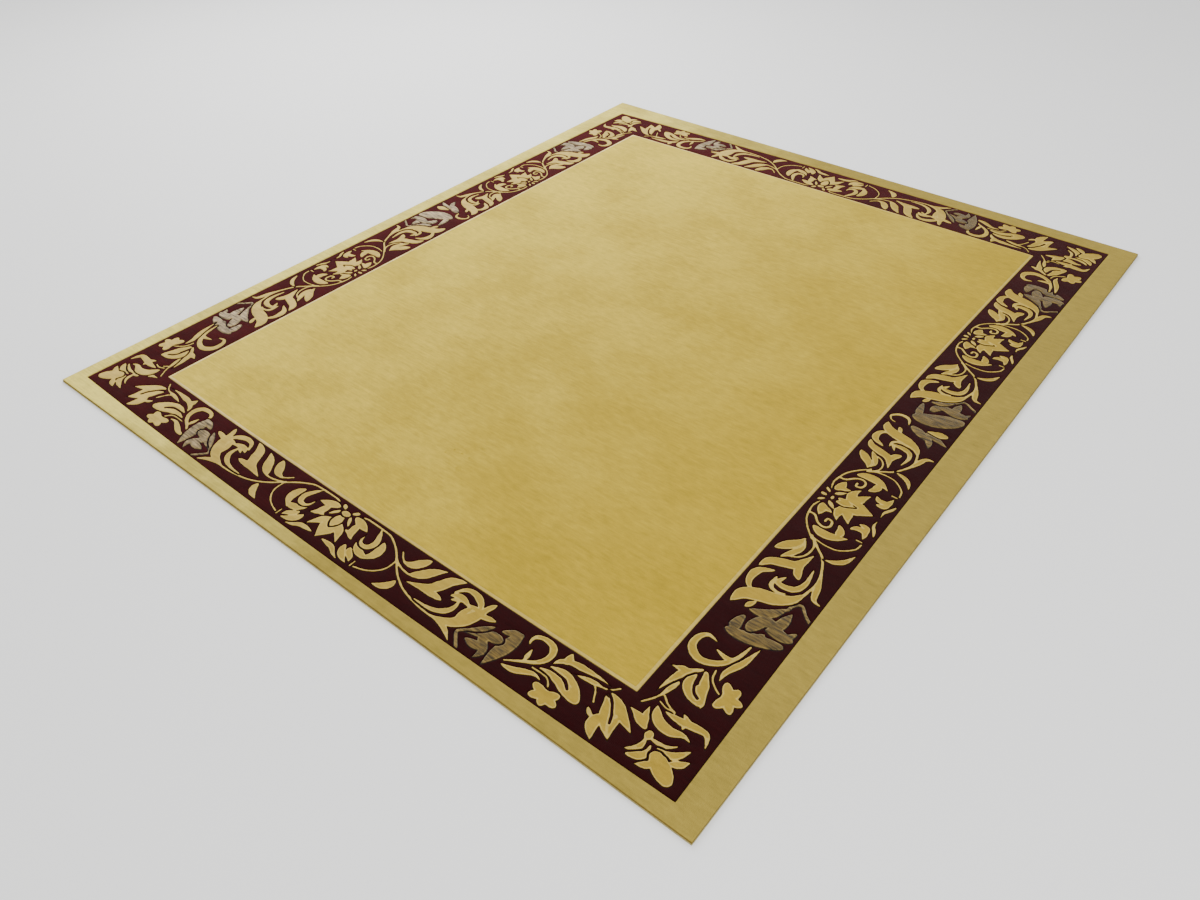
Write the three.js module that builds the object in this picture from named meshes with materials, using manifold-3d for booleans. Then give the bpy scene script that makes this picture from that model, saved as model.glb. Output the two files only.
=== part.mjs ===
// A hand-knotted wool rug, lying flat, as one cloth with its scroll border sheared into low relief.
// The underside lies on Z = 0 with the origin under its middle, and the long sides run along Y.
import * as THREE from 'three';
import Module from 'manifold-3d';
import { mergeVertices } from 'three/addons/utils/BufferGeometryUtils.js';

const wasm = await Module();
wasm.setup();

// Driving sizes in millimetres
const RUG_WIDTH = 2042;
const RUG_LENGTH = 2790;
const PILE_TOP = 10;
const GROUND_TOP = 8.4;
const EDGE_ROUNDING = 2;
const GUARD_STRIPE_WIDTH = 11;
const GROOVE_WIDTH = 4;
const CUT_ABOVE = 2;

// The border pattern is charted at this height across the border
const CHART_HEIGHT = 165;

// Rows are beaten tighter towards the far end, so the middle of the pattern lies this much beyond halfway
const ROW_DRIFT = 63;

// How finely the lines are stepped: a stroke has a step for each of these turns, in radians
const STEPS_ALONG_SIDE = 6;
const TURN_PER_STEP = 0.8;
const FEWEST_STROKE_STEPS = 3;
const TURN_SAMPLES = 24;

// A form that is thinner than this share of its width has come to its tip
const TIP_SHARE = 0.02;

// The blossom's petals, and how far in from its full width its notches reach
const BLOSSOM_PETALS = 5;
const BLOSSOM_NOTCH = 0.28;

// The sides in the order in which the border runs round, seen from above
const SIDES = [
  { name: 'near', corner: [-1, -1], along: [1, 0], inward: [0, 1], length: RUG_WIDTH, run: 'short', drift: 0 },
  { name: 'right', corner: [1, -1], along: [0, 1], inward: [-1, 0], length: RUG_LENGTH, run: 'long', drift: 1 },
  { name: 'far', corner: [1, 1], along: [-1, 0], inward: [0, -1], length: RUG_WIDTH, run: 'short', drift: 0 },
  { name: 'left', corner: [-1, 1], along: [0, -1], inward: [1, 0], length: RUG_LENGTH, run: 'long', drift: -1 },
];

// Distance of each line in from the full size, at the start, middle and end of each side
const LINES = {
  edge: {
    near: [2, 1, 0], right: [16, 8, 0], far: [25, 11, 0], left: [0, 19, 32],
  },
  borderOuter: {
    near: [58, 35, 47], right: [76, 85, 70], far: [94, 84, 113], left: [75, 69, 74],
  },
  borderInner: {
    near: [213, 192, 200], right: [252, 260, 246], far: [269, 266, 282], left: [239, 238, 240],
  },
};

// Width of each drawn form along its middle line, from 0 at its root to 1 at its tip
const FORMS = {
  vine: () => 1,
  leaf: (t) => Math.sin(Math.PI * t ** 0.8),
  lobe: (t) => (t < 0.35 ? 0.45 + (0.55 * t) / 0.35 : Math.sqrt((1 - t) / 0.65)),
  hook: (t) => (t < 0.6 ? 0.25 + (0.75 * t) / 0.6 : Math.sqrt((1 - t) / 0.4)),
  drop: (t) => Math.sqrt(Math.max(0, 4 * t * (1 - t))),
};

// The palmette that stands on each corner's diagonal, in mm along and across from the border's corner
const PALMETTE = [
  { form: 'leaf', width: 36, spine: [[62, 62], [38, 38], [12, 12]] },
  { form: 'lobe', width: 15, spine: [[58, 58], [92, 94], [124, 124]] },
  { form: 'leaf', width: 13, spine: [[110, 112], [112, 132], [104, 150]] },
  { form: 'leaf', width: 13, spine: [[112, 110], [132, 112], [150, 104]] },
  { form: 'lobe', width: 14, spine: [[60, 52], [62, 32], [84, 12]] },
  { form: 'lobe', width: 14, spine: [[52, 60], [32, 62], [12, 84]] },
  { form: 'lobe', width: 14, spine: [[76, 66], [80, 44], [106, 24]] },
  { form: 'lobe', width: 14, spine: [[66, 76], [44, 80], [24, 106]] },
];

// The fingered leaf beside each corner palmette
const CORNER_LEAF = [
  { form: 'lobe', width: 22, spine: [[46, 125], [14, 108], [8, 76], [19, 36]] },
  { form: 'leaf', width: 22, spine: [[61, 125], [44, 96], [49, 60], [50, 30], [24, 12]] },
];

// The small flower on its stem, with its leaves and the hooked leaf
const FLOWER = [
  { form: 'vine', width: 5, spine: [[0, 151], [35, 133], [90, 123], [152, 98], [200, 72], [273, 54]] },
  { form: 'leaf', width: 14, spine: [[146, 78], [205, 57], [273, 44]] },
  { form: 'leaf', width: 22, spine: [[39, 142], [108, 140], [156, 100]] },
  { form: 'lobe', width: 24, spine: [[148, 102], [108, 113], [71, 104], [56, 80]] },
  { form: 'lobe', width: 18, spine: [[137, 88], [99, 86], [67, 56]] },
  { form: 'blossom', width: 54, spine: [[117, 34]] },
  { form: 'hook', width: 20, spine: [[255, 58], [200, 76], [164, 104], [158, 136], [186, 154], [220, 150], [236, 124]] },
];

// The silk lotus, with the wool scroll that rises from it and the vine that leads to the loop
const LOTUS = [
  { form: 'drop', width: 30, spine: [[8, 128], [4, 98], [18, 58], [40, 20]] },
  { form: 'drop', width: 20, spine: [[32, 92], [62, 76], [58, 46], [88, 10]] },
];
const LOTUS_HEART = [
  { form: 'leaf', width: 26, spine: [[56, 84], [100, 56], [142, 42]] },
  { form: 'lobe', width: 18, spine: [[88, 114], [98, 86], [157, 53]] },
];
const SCROLL = [
  { form: 'leaf', width: 36, spine: [[82, 153], [122, 132], [132, 92], [160, 58], [215, 36]] },
  { form: 'vine', width: 7, spine: [[168, 46], [215, 36], [270, 43], [327, 66], [375, 108]] },
  { form: 'leaf', width: 14, spine: [[226, 44], [208, 34], [195, 8]] },
  { form: 'hook', width: 17, spine: [[118, 104], [140, 146], [180, 160], [214, 150], [228, 126]] },
  { form: 'hook', width: 17, spine: [[208, 52], [176, 76], [174, 106], [200, 118], [228, 104]] },
  { form: 'leaf', width: 28, spine: [[218, 157], [254, 130], [268, 100], [327, 77]] },
  { form: 'leaf', width: 26, spine: [[286, 158], [322, 134], [369, 116]] },
  { form: 'leaf', width: 13, spine: [[327, 62], [351, 30], [389, 9]] },
];

// Half of the vine loop round a star flower, from the loop's middle outwards
const LOOP_HALF_WIDTH = 165;
const LOOP_HALF = [
  { form: 'vine', width: 5, spine: [[165, 108], [121, 144], [78, 157], [26, 155]] },
  { form: 'vine', width: 5, spine: [[160, 110], [166, 66], [145, 33], [104, 20]] },
  { form: 'leaf', width: 30, spine: [[124, 130], [132, 86], [92, 42]] },
  { form: 'leaf', width: 20, spine: [[112, 58], [78, 82]] },
  { form: 'lobe', width: 28, spine: [[4, 98], [34, 82], [64, 66]] },
  { form: 'lobe', width: 28, spine: [[6, 108], [42, 124], [78, 134]] },
  { form: 'leaf', width: 17, spine: [[78, 62], [60, 38], [92, 22]] },
];
const STAR_MIDDLE = [
  { form: 'lobe', width: 38, spine: [[0, 128], [0, 84], [0, 34]] },
];

// The hooked leaf and the small leaf that fill the middle of each long side
const MIDDLE_LEAVES = [
  { form: 'hook', width: 15, spine: [[22, 111], [56, 116], [66, 142], [48, 158], [18, 152]] },
  { form: 'leaf', width: 18, spine: [[34, 62], [48, 42], [56, 18]] },
];

// What each run of border holds, in mm from its start, with whether the group is turned end for end
const RUNS = {
  short: {
    length: 1882,
    groups: [
      { strokes: CORNER_LEAF, chart: 70, from: 132, to: 206 },
      { strokes: FLOWER, chart: 273, from: 188, to: 398 },
      { strokes: [...LOTUS, ...LOTUS_HEART, ...SCROLL], chart: 375, from: 392, to: 742 },
      { strokes: [...LOTUS, ...LOTUS_HEART, ...SCROLL], chart: 375, from: 1490, to: 1140 },
      { strokes: FLOWER, chart: 273, from: 1680, to: 1484 },
      { strokes: CORNER_LEAF, chart: 70, from: 1750, to: 1676 },
    ],
    loops: [{ middle: 941, halfWidth: 199 }],
  },
  long: {
    length: 2640,
    groups: [
      { strokes: CORNER_LEAF, chart: 70, from: 100, to: 170 },
      { strokes: FLOWER, chart: 273, from: 122, to: 380 },
      { strokes: [...LOTUS, ...LOTUS_HEART, ...SCROLL], chart: 375, from: 377, to: 712 },
      { strokes: [...LOTUS_HEART, ...SCROLL], chart: 375, from: 1320, to: 1020 },
      { strokes: MIDDLE_LEAVES, chart: 68, from: 1227, to: 1297 },
      { strokes: [...LOTUS, ...LOTUS_HEART, ...SCROLL], chart: 375, from: 1294, to: 1634 },
      { strokes: [...LOTUS, ...LOTUS_HEART, ...SCROLL], chart: 375, from: 2262, to: 1933 },
      { strokes: FLOWER, chart: 273, from: 2480, to: 2252 },
      { strokes: CORNER_LEAF, chart: 70, from: 2522, to: 2448 },
    ],
    loops: [{ middle: 866, halfWidth: 154 }, { middle: 1783, halfWidth: 150 }],
  },
};

// The value at t along a side, on the curve through its start, middle and end values
function bow([start, middle, end], t) {
  return start * (1 - t) * (1 - 2 * t) + middle * 4 * t * (1 - t) + end * t * (2 * t - 1);
}

// The point at a distance along a side and a distance in from its full size
function pointOnSide(side, along, inward) {
  const x = (side.corner[0] * RUG_WIDTH) / 2 + side.along[0] * along + side.inward[0] * inward;
  const y = (side.corner[1] * RUG_LENGTH) / 2 + side.along[1] * along + side.inward[1] * inward;
  return new THREE.Vector2(x, y);
}

function sideBefore(index) {
  return SIDES[(index + SIDES.length - 1) % SIDES.length];
}

function sideAfter(index) {
  return SIDES[(index + 1) % SIDES.length];
}

// Where a line starts and ends along one side, which is where it meets the lines of the next sides
function lineSpan(index, line) {
  const start = LINES[line][sideBefore(index).name][2];
  const end = SIDES[index].length - LINES[line][sideAfter(index).name][0];
  return { start, end };
}

// A closed line round the rug, moved further in by an extra distance
function ring(line, extra = 0) {
  const points = [];
  SIDES.forEach((side, index) => {
    const span = lineSpan(index, line);
    for (let step = 0; step < STEPS_ALONG_SIDE; step += 1) {
      const along = span.start + extra + ((span.end - span.start - 2 * extra) * step) / STEPS_ALONG_SIDE;
      const inward = bow(LINES[line][side.name], along / side.length) + extra;
      points.push(pointOnSide(side, along, inward));
    }
  });
  return points;
}

// A charted point of the border, u along a side's run and v across it, as a point of the rug
function borderPoint(index, u, v) {
  const side = SIDES[index];
  const run = RUNS[side.run].length;
  const span = lineSpan(index, 'borderOuter');
  const drift = side.drift * ROW_DRIFT * 4 * (u / run) * (1 - u / run);
  const along = span.start + ((span.end - span.start) * u) / run + drift;
  const outer = bow(LINES.borderOuter[side.name], along / side.length);
  const inner = bow(LINES.borderInner[side.name], along / side.length);
  return pointOnSide(side, along, outer + ((inner - outer) * v) / CHART_HEIGHT);
}

// How far a curve turns from end to end, in radians
function totalTurn(curve) {
  let turn = 0;
  for (let sample = 1; sample <= TURN_SAMPLES; sample += 1) {
    const before = curve.getTangentAt((sample - 1) / TURN_SAMPLES);
    turn += before.angleTo(curve.getTangentAt(sample / TURN_SAMPLES));
  }
  return turn;
}

// The outline of a five-petalled blossom
function blossomOutline(width, centre) {
  const points = [];
  for (let index = 0; index < 2 * BLOSSOM_PETALS; index += 1) {
    const angle = (Math.PI * index) / BLOSSOM_PETALS + Math.PI / 2;
    const radius = (index % 2 === 0 ? 0.5 : BLOSSOM_NOTCH) * width;
    points.push(new THREE.Vector2(centre.x + radius * Math.cos(angle), centre.y + radius * Math.sin(angle)));
  }
  return points;
}

// The outline of one drawn form, as wide as its form says on either side of its middle line
function strokeOutline(form, width, spine) {
  const curve = new THREE.CatmullRomCurve3(spine.map((p) => new THREE.Vector3(p.x, p.y, 0)));
  const steps = Math.max(FEWEST_STROKE_STEPS, Math.round(totalTurn(curve) / TURN_PER_STEP));
  const leftSide = [];
  const rightSide = [];
  for (let step = 0; step <= steps; step += 1) {
    const t = step / steps;
    const middle = curve.getPointAt(t);
    const tangent = curve.getTangentAt(t);
    const half = (FORMS[form](t) * width) / 2;
    const isTip = half < width * TIP_SHARE;
    leftSide.push(new THREE.Vector2(middle.x - tangent.y * half, middle.y + tangent.x * half));
    if (!isTip) {
      rightSide.unshift(new THREE.Vector2(middle.x + tangent.y * half, middle.y - tangent.x * half));
    }
  }
  return [...leftSide, ...rightSide];
}

// The outlines of all that is drawn on one side of the border, with the palmette of its first corner
function outlinesOnSide(index) {
  const run = RUNS[SIDES[index].run];
  const outlines = [];
  const draw = (strokes, place) => {
    for (const { form, width, spine } of strokes) {
      const points = spine.map(([u, v]) => place(u, v));
      const outline = form === 'blossom' ? blossomOutline(width, points[0]) : strokeOutline(form, width, points);
      outlines.push(outline);
    }
  };
  draw(PALMETTE, (u, v) => borderPoint(index, u, v));
  for (const { strokes, chart, from, to } of run.groups) {
    draw(strokes, (u, v) => borderPoint(index, from + ((to - from) * u) / chart, v));
  }
  for (const { middle, halfWidth } of run.loops) {
    const stretch = halfWidth / LOOP_HALF_WIDTH;
    draw(STAR_MIDDLE, (u, v) => borderPoint(index, middle + u, v));
    draw(LOOP_HALF, (u, v) => borderPoint(index, middle - u * stretch, v));
    draw(LOOP_HALF, (u, v) => borderPoint(index, middle + u * stretch, v));
  }
  return outlines;
}

// A solid from a closed geometry
function solidFrom(geometry) {
  geometry.deleteAttribute('normal');
  geometry.deleteAttribute('uv');
  const merged = mergeVertices(geometry, 1e-4);
  return new wasm.Manifold(new wasm.Mesh({
    numProp: 3,
    vertProperties: new Float32Array(merged.attributes.position.array),
    triVerts: new Uint32Array(merged.index.array),
  }));
}

// A solid with a flat outline between two heights
function raised(outline, bottom, top, hole = null) {
  const shape = new THREE.Shape(outline);
  if (hole) {
    shape.holes.push(new THREE.Path(hole));
  }
  const geometry = new THREE.ExtrudeGeometry(shape, { depth: top - bottom, bevelEnabled: false });
  geometry.translate(0, 0, bottom);
  return solidFrom(geometry);
}

// The rug's full thickness, with its rim rounded over
function makeSlab() {
  const geometry = new THREE.ExtrudeGeometry(new THREE.Shape(ring('edge')), {
    depth: PILE_TOP - 2 * EDGE_ROUNDING,
    bevelThickness: EDGE_ROUNDING,
    bevelSize: EDGE_ROUNDING,
    bevelOffset: -EDGE_ROUNDING,
    bevelSegments: 1,
  });
  geometry.translate(0, 0, EDGE_ROUNDING);
  return solidFrom(geometry);
}

// The ground that is sheared away round the drawn forms of the border
function makeShearedGround() {
  const top = PILE_TOP + CUT_ABOVE;
  let ground = raised(ring('borderOuter'), GROUND_TOP, top, ring('borderInner'));
  SIDES.forEach((side, index) => {
    for (const outline of outlinesOnSide(index)) {
      ground = ground.subtract(raised(outline, GROUND_TOP - CUT_ABOVE, top + CUT_ABOVE));
    }
  });
  return ground;
}

// The fine groove that is cut between the pale guard stripe and the field
function makeGroove() {
  const outer = ring('borderInner', GUARD_STRIPE_WIDTH);
  const inner = ring('borderInner', GUARD_STRIPE_WIDTH + GROOVE_WIDTH);
  return raised(outer, GROUND_TOP, PILE_TOP + CUT_ABOVE, inner);
}

// A mesh geometry from a solid
function geometryFrom(solid) {
  const mesh = solid.getMesh();
  const geometry = new THREE.BufferGeometry();
  geometry.setAttribute('position', new THREE.BufferAttribute(new Float32Array(mesh.vertProperties), 3));
  geometry.setIndex(new THREE.BufferAttribute(new Uint32Array(mesh.triVerts), 1));
  geometry.computeVertexNormals();
  return geometry;
}

function makeRug() {
  const solid = makeSlab().subtract(makeShearedGround()).subtract(makeGroove());
  const wool = new THREE.MeshStandardMaterial({ color: 0xb9a560, roughness: 0.95, metalness: 0 });
  const mesh = new THREE.Mesh(geometryFrom(solid), wool);
  mesh.name = 'knotted_rug';
  return mesh;
}

const rug = new THREE.Group();
rug.add(makeRug());

export default rug;
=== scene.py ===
"""A hand-knotted wool rug with a sheared scroll border, laid out as a Blender add-on."""
import math
from collections import namedtuple
from functools import lru_cache

import bpy
import numpy as np
from mathutils import Matrix, Vector
from mathutils.geometry import delaunay_2d_cdt


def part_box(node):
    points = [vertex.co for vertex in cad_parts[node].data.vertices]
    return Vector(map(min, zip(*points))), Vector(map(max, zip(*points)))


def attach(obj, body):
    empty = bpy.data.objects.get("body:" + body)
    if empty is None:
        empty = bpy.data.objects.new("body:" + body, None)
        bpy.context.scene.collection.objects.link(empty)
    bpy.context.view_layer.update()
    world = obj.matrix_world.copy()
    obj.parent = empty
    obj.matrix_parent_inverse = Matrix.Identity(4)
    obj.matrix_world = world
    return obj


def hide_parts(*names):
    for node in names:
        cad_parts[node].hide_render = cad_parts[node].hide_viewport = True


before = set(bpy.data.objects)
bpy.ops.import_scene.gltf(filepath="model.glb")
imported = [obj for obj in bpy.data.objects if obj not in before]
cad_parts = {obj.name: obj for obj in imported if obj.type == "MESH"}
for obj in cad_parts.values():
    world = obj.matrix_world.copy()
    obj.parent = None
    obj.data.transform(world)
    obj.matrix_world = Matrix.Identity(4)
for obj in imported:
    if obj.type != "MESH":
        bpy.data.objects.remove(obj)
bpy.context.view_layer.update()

bl_info = {
    "name": "Hand-Knotted Scroll Rug",
    "version": (1, 0, 0),
    "blender": (4, 5, 0),
    "location": "View3D > Sidebar > Rug",
    "description": "Builds a wool rug with a carved scroll border, its knotted back and its studio",
    "category": "Add Mesh",
}

RUG_NODE = "knotted_rug"
BODY = "root"
MM = 0.001

# The rug's full size in mm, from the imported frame
RUG_LOW, RUG_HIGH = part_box(RUG_NODE)
RUG_WIDTH = (RUG_HIGH[0] - RUG_LOW[0]) / MM
RUG_LENGTH = (RUG_HIGH[1] - RUG_LOW[1]) / MM

# The sides in the order in which the border runs round, seen from above
Side = namedtuple("Side", "name corner along inward length run drift")
SIDES = (
    Side("near", (-1, -1), (1, 0), (0, 1), RUG_WIDTH, "short", 0),
    Side("right", (1, -1), (0, 1), (-1, 0), RUG_LENGTH, "long", 1),
    Side("far", (1, 1), (-1, 0), (0, -1), RUG_WIDTH, "short", 0),
    Side("left", (-1, 1), (0, -1), (1, 0), RUG_LENGTH, "long", -1),
)

# Distance of each line in from the full size in mm, at the start, middle and end of each side
LINES = {
    "edge": {"near": (2, 1, 0), "right": (16, 8, 0), "far": (25, 11, 0), "left": (0, 19, 32)},
    "border_outer": {
        "near": (58, 35, 47), "right": (76, 85, 70), "far": (94, 84, 113), "left": (75, 69, 74),
    },
    "border_inner": {
        "near": (213, 192, 200), "right": (252, 260, 246),
        "far": (269, 266, 282), "left": (239, 238, 240),
    },
}

# The border pattern is charted at this height across the border, in mm
CHART_HEIGHT = 165

# Rows are beaten tighter towards the far end, so the middle of the pattern lies this much beyond halfway
ROW_DRIFT = 63

# Length of each charted run of border between two corners, in mm
RUN_LENGTHS = {"short": 1882, "long": 2640}

# The last groups before the far corners sit this much nearer to the middle, and the shift fades out
# between these distances from the corner
FAR_SHIFT = 40
FAR_SHIFT_FADES = (450, 860)


def opening(root, widest):
    """The form of a stroke that opens evenly from its root to its widest place and ends round."""
    return lambda t: np.where(
        t < widest, root + (1 - root) * t / widest, np.sqrt((1 - t) / (1 - widest))
    )


# Width of each drawn form along its middle line, from 0 at its root to 1 at its tip
FORMS = {
    "vine": lambda t: np.ones_like(t),
    "leaf": lambda t: np.sin(np.pi * t ** 0.8),
    "lobe": opening(0.45, 0.35),
    "hook": opening(0.25, 0.6),
    "drop": lambda t: np.sqrt(np.maximum(0, 4 * t * (1 - t))),
    "wedge": opening(0, 0.6),
}

# A stroke's full width and the points of its middle line are in mm of the chart
Stroke = namedtuple("Stroke", "mode form width spine")


def new(form, width, *spine):
    """A stroke knotted over what lies under it, with a carved line round it."""
    return Stroke("new", form, width, spine)


def join(form, width, *spine):
    """A stroke that grows out of what lies under it."""
    return Stroke("join", form, width, spine)


def cut(form, width, *spine):
    """A line carved into what lies under it."""
    return Stroke("cut", form, width, spine)


def blossom(width, middle, *tips):
    """The round petals of a small blossom, from its middle to their tips."""
    first, *others = tips
    return new("drop", width, middle, first), *(join("drop", width, middle, tip) for tip in others)


def petal_pair(width, *spine):
    """A star flower's petal, and its mirror image."""
    return tuple(join("wedge", width, *((side * u, v) for u, v in spine)) for side in (1, -1))


# The palmette on each corner's diagonal, in mm along and across from the border's corner
PALMETTE = (
    new("leaf", 13, (30, 121), (42, 108), (60, 101), (90, 104)),
    join("leaf", 10, (86, 104), (84, 82), (90, 64), (109, 48)),
    join("drop", 18, (80, 102), (97, 102)),
    new("wedge", 25, (121, 160), (112, 136), (96, 113)),
    join("wedge", 17, (151, 134), (128, 129), (104, 118)),
    new("leaf", 18, (21, 114), (33, 95), (50, 86), (75, 89)),
    new("leaf", 18, (74, 79), (73, 59), (86, 43), (115, 28)),
    new("drop", 40, (61, 75), (18, 27)),
    join("leaf", 17, (46, 64), (28, 73), (13, 92)),
    join("leaf", 17, (58, 48), (70, 32), (90, 19)),
)

# The fingered leaf beside each corner palmette
CORNER_LEAF = (
    new("vine", 4.6, (54, 123), (49, 107), (52, 92)),
    new("leaf", 26, (45, 122), (20, 106), (12, 80), (20, 54), (15, 36)),
    new("leaf", 20, (42, 106), (42, 76), (48, 46), (47, 24), (19, 12)),
    join("leaf", 12, (44, 56), (61, 79)),
    join("leaf", 8, (44, 66), (28, 62)),
)

# The leaf in the same place on the short sides, with its fingers grown together
SHORT_CORNER_LEAF = (
    new("leaf", 27, (99, 127), (72, 115), (44, 92), (12, 70)),
    join("leaf", 21, (98, 117), (84, 98), (75, 74), (63, 52), (38, 27)),
    join("leaf", 15, (50, 96), (50, 74), (48, 52), (38, 27)),
    join("leaf", 26, (76, 74), (80, 52), (78, 32), (63, 5)),
    join("leaf", 11, (108, 70), (98, 58), (82, 50)),
    join("leaf", 18, (74, 106), (62, 84), (55, 56)),
    cut("vine", 4.5, (98, 128), (91, 122), (79, 110), (71, 96), (63, 82), (57, 64)),
)

# The small blossom on its stem, with its leaves and the hooked leaf
FLOWER = (
    new("vine", 5, (0, 148), (26, 133), (56, 124)),
    join("leaf", 13, (30, 131), (60, 124), (88, 119), (116, 101)),
    join("vine", 5, (38, 123), (26, 109), (18, 91)),
    new("wedge", 20, (34, 141), (66, 136), (94, 128), (112, 118), (136, 98)),
    join("wedge", 18, (104, 152), (108, 136), (116, 116)),
    new("lobe", 22, (114, 102), (96, 107), (78, 101), (64, 86), (58, 66)),
    join("lobe", 22, (130, 92), (110, 84), (86, 74), (66, 64), (56, 62)),
    join("drop", 24, (58, 66), (98, 88)),
    cut("vine", 5, (122, 101), (110, 98), (92, 95), (78, 87), (71, 76)),
    new("vine", 5, (147, 82), (126, 77), (111, 62), (105, 52)),
    *blossom(22, (107, 35), (136, 52), (134, 27), (108, 10), (80, 18), (76, 45)),
    join("drop", 28, (92, 35), (122, 35)),
    new(
        "hook", 21, (242, 59), (201, 66), (172, 80), (154, 102), (151, 125), (168, 145), (194, 147),
        (212, 135), (208, 113),
    ),
    join("lobe", 14, (190, 66), (185, 84), (192, 107)),
    new("leaf", 16, (128, 66), (156, 66), (196, 52), (251, 42)),
)

# The same on the short sides, where the knots lie wider
SHORT_FLOWER = (
    new("vine", 5, (13, 149), (30, 131), (58, 124)),
    join("leaf", 13, (40, 128), (70, 124), (104, 116)),
    join("vine", 5, (60, 124), (49, 112), (36, 85)),
    new("wedge", 19, (29, 141), (62, 143), (102, 140), (126, 135), (146, 118)),
    join("leaf", 12, (130, 136), (144, 124), (154, 105)),
    join("wedge", 20, (136, 161), (134, 146), (130, 126)),
    new("lobe", 23, (147, 98), (126, 103), (102, 98), (82, 88), (64, 72), (60, 62)),
    join("lobe", 21, (162, 80), (138, 84), (116, 78), (98, 66), (78, 58), (62, 55)),
    join("drop", 28, (97, 78), (60, 60)),
    cut("vine", 5, (156, 93), (144, 94), (114, 92), (102, 85), (93, 75)),
    new("vine", 5, (178, 72), (150, 72), (135, 67), (122, 49)),
    *blossom(23, (116, 32), (150, 43), (143, 15), (112, 9), (87, 22), (95, 48)),
    join("drop", 28, (102, 33), (132, 32)),
    new(
        "hook", 18, (234, 47), (200, 72), (180, 87), (169, 104), (167, 125), (175, 142), (190, 149),
        (206, 149), (219, 142), (223, 128), (217, 113),
    ),
    join("lobe", 12, (201, 74), (204, 92), (206, 111)),
    new("leaf", 17, (235, 35), (206, 39), (184, 51), (163, 60), (139, 54)),
)

# The silk lotus between two groups, its heart, and the wool scroll that rises from it
LOTUS = (
    new("drop", 34, (12, 120), (13, 94), (22, 60), (39, 13)),
    join("lobe", 26, (14, 108), (38, 110), (64, 107)),
    join("leaf", 18, (20, 66), (46, 54)),
    new("drop", 33, (78, 72), (67, 50), (62, 30), (63, 9)),
    join("lobe", 16, (58, 22), (72, 16), (88, 9)),
    join("leaf", 25, (60, 46), (96, 42), (130, 38)),
    new("drop", 31, (35, 85), (54, 81), (84, 69)),
    join("drop", 28, (80, 76), (74, 48)),
)
LOTUS_HEART = (
    join("leaf", 25, (83, 110), (90, 86), (104, 68), (138, 48)),
    join("vine", 8, (132, 50), (148, 47), (160, 34), (143, 19), (129, 4)),
)
SHORT_LOTUS = (
    new("leaf", 34, (30, 130), (33, 100), (37, 70), (42, 36), (47, 3)),
    join("lobe", 22, (28, 123), (48, 114), (66, 104)),
    new("leaf", 20, (90, 66), (74, 50), (64, 30), (71, 5)),
    join("leaf", 23, (68, 40), (90, 37), (114, 37)),
    new("drop", 29, (53, 81), (84, 78)),
    join("drop", 24, (84, 80), (82, 50)),
    join("leaf", 16, (76, 78), (96, 66), (122, 50)),
    new("leaf", 14, (82, 106), (96, 86), (112, 68), (132, 50)),
    join("vine", 8, (126, 54), (136, 40), (124, 22), (110, 5)),
)
SCROLL_BODY = (
    new("leaf", 40, (78, 148), (112, 138), (130, 112), (140, 84), (162, 56), (200, 40)),
    join("leaf", 14, (83, 119), (114, 106)),
)
SCROLL_ARMS = (
    join("hook", 21, (122, 116), (144, 142), (170, 148), (194, 142), (213, 117)),
    new("hook", 19, (264, 59), (222, 55), (194, 62), (183, 80), (187, 100), (212, 92)),
    join("leaf", 11, (205, 108), (170, 106), (161, 88), (172, 64)),
    join("vine", 7, (190, 44), (238, 38), (278, 48), (310, 62), (332, 82), (360, 108)),
    join("leaf", 16, (182, 4), (190, 24), (228, 33), (278, 46)),
    join("vine", 6, (272, 112), (282, 99), (302, 90), (330, 90), (354, 102)),
    new("leaf", 28, (202, 152), (230, 140), (244, 116), (258, 92), (310, 76)),
    join("leaf", 20, (219, 71), (242, 83), (268, 80)),
    new("leaf", 27, (273, 152), (298, 134), (322, 118), (347, 113)),
    join("leaf", 17, (255, 131), (278, 118), (310, 106), (338, 110)),
    new("leaf", 15, (308, 58), (315, 38), (332, 22), (365, 11)),
)
SCROLL = SCROLL_BODY + SCROLL_ARMS

# The scroll on the short sides
SHORT_SCROLL = (
    new("leaf", 31, (119, 138), (127, 104), (140, 70), (162, 45), (206, 32)),
    join("leaf", 15, (113, 156), (122, 130), (128, 104)),
    join("leaf", 16, (86, 116), (112, 109), (134, 98)),
    join("lobe", 19, (128, 112), (142, 134), (164, 147), (188, 144), (206, 118)),
    join("leaf", 15, (196, 36), (160, 29), (126, 4)),
    join(
        "vine", 6, (176, 34), (210, 33), (248, 37), (284, 46), (308, 57), (337, 78), (364, 106),
    ),
    new("hook", 16, (256, 45), (222, 46), (196, 55), (180, 74), (178, 94), (182, 112)),
    join("leaf", 18, (206, 106), (190, 118), (170, 116), (150, 104)),
    join("leaf", 17, (146, 116), (152, 92), (159, 60)),
    join("leaf", 15, (120, 112), (140, 113), (166, 112)),
    join("leaf", 9, (198, 98), (186, 106), (172, 110)),
    new("leaf", 29, (200, 163), (228, 140), (239, 114), (256, 88), (306, 69)),
    join("leaf", 19, (209, 82), (240, 82), (276, 74)),
    join("vine", 6, (358, 102), (332, 92), (306, 91), (290, 100)),
    join("leaf", 27, (312, 90), (290, 110), (273, 136), (251, 158)),
    new("leaf", 25, (300, 158), (314, 132), (328, 115), (352, 111)),
    join("vine", 5, (367, 132), (354, 118), (340, 110)),
    new("leaf", 20, (320, 57), (323, 37), (335, 22), (357, 12)),
)

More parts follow.
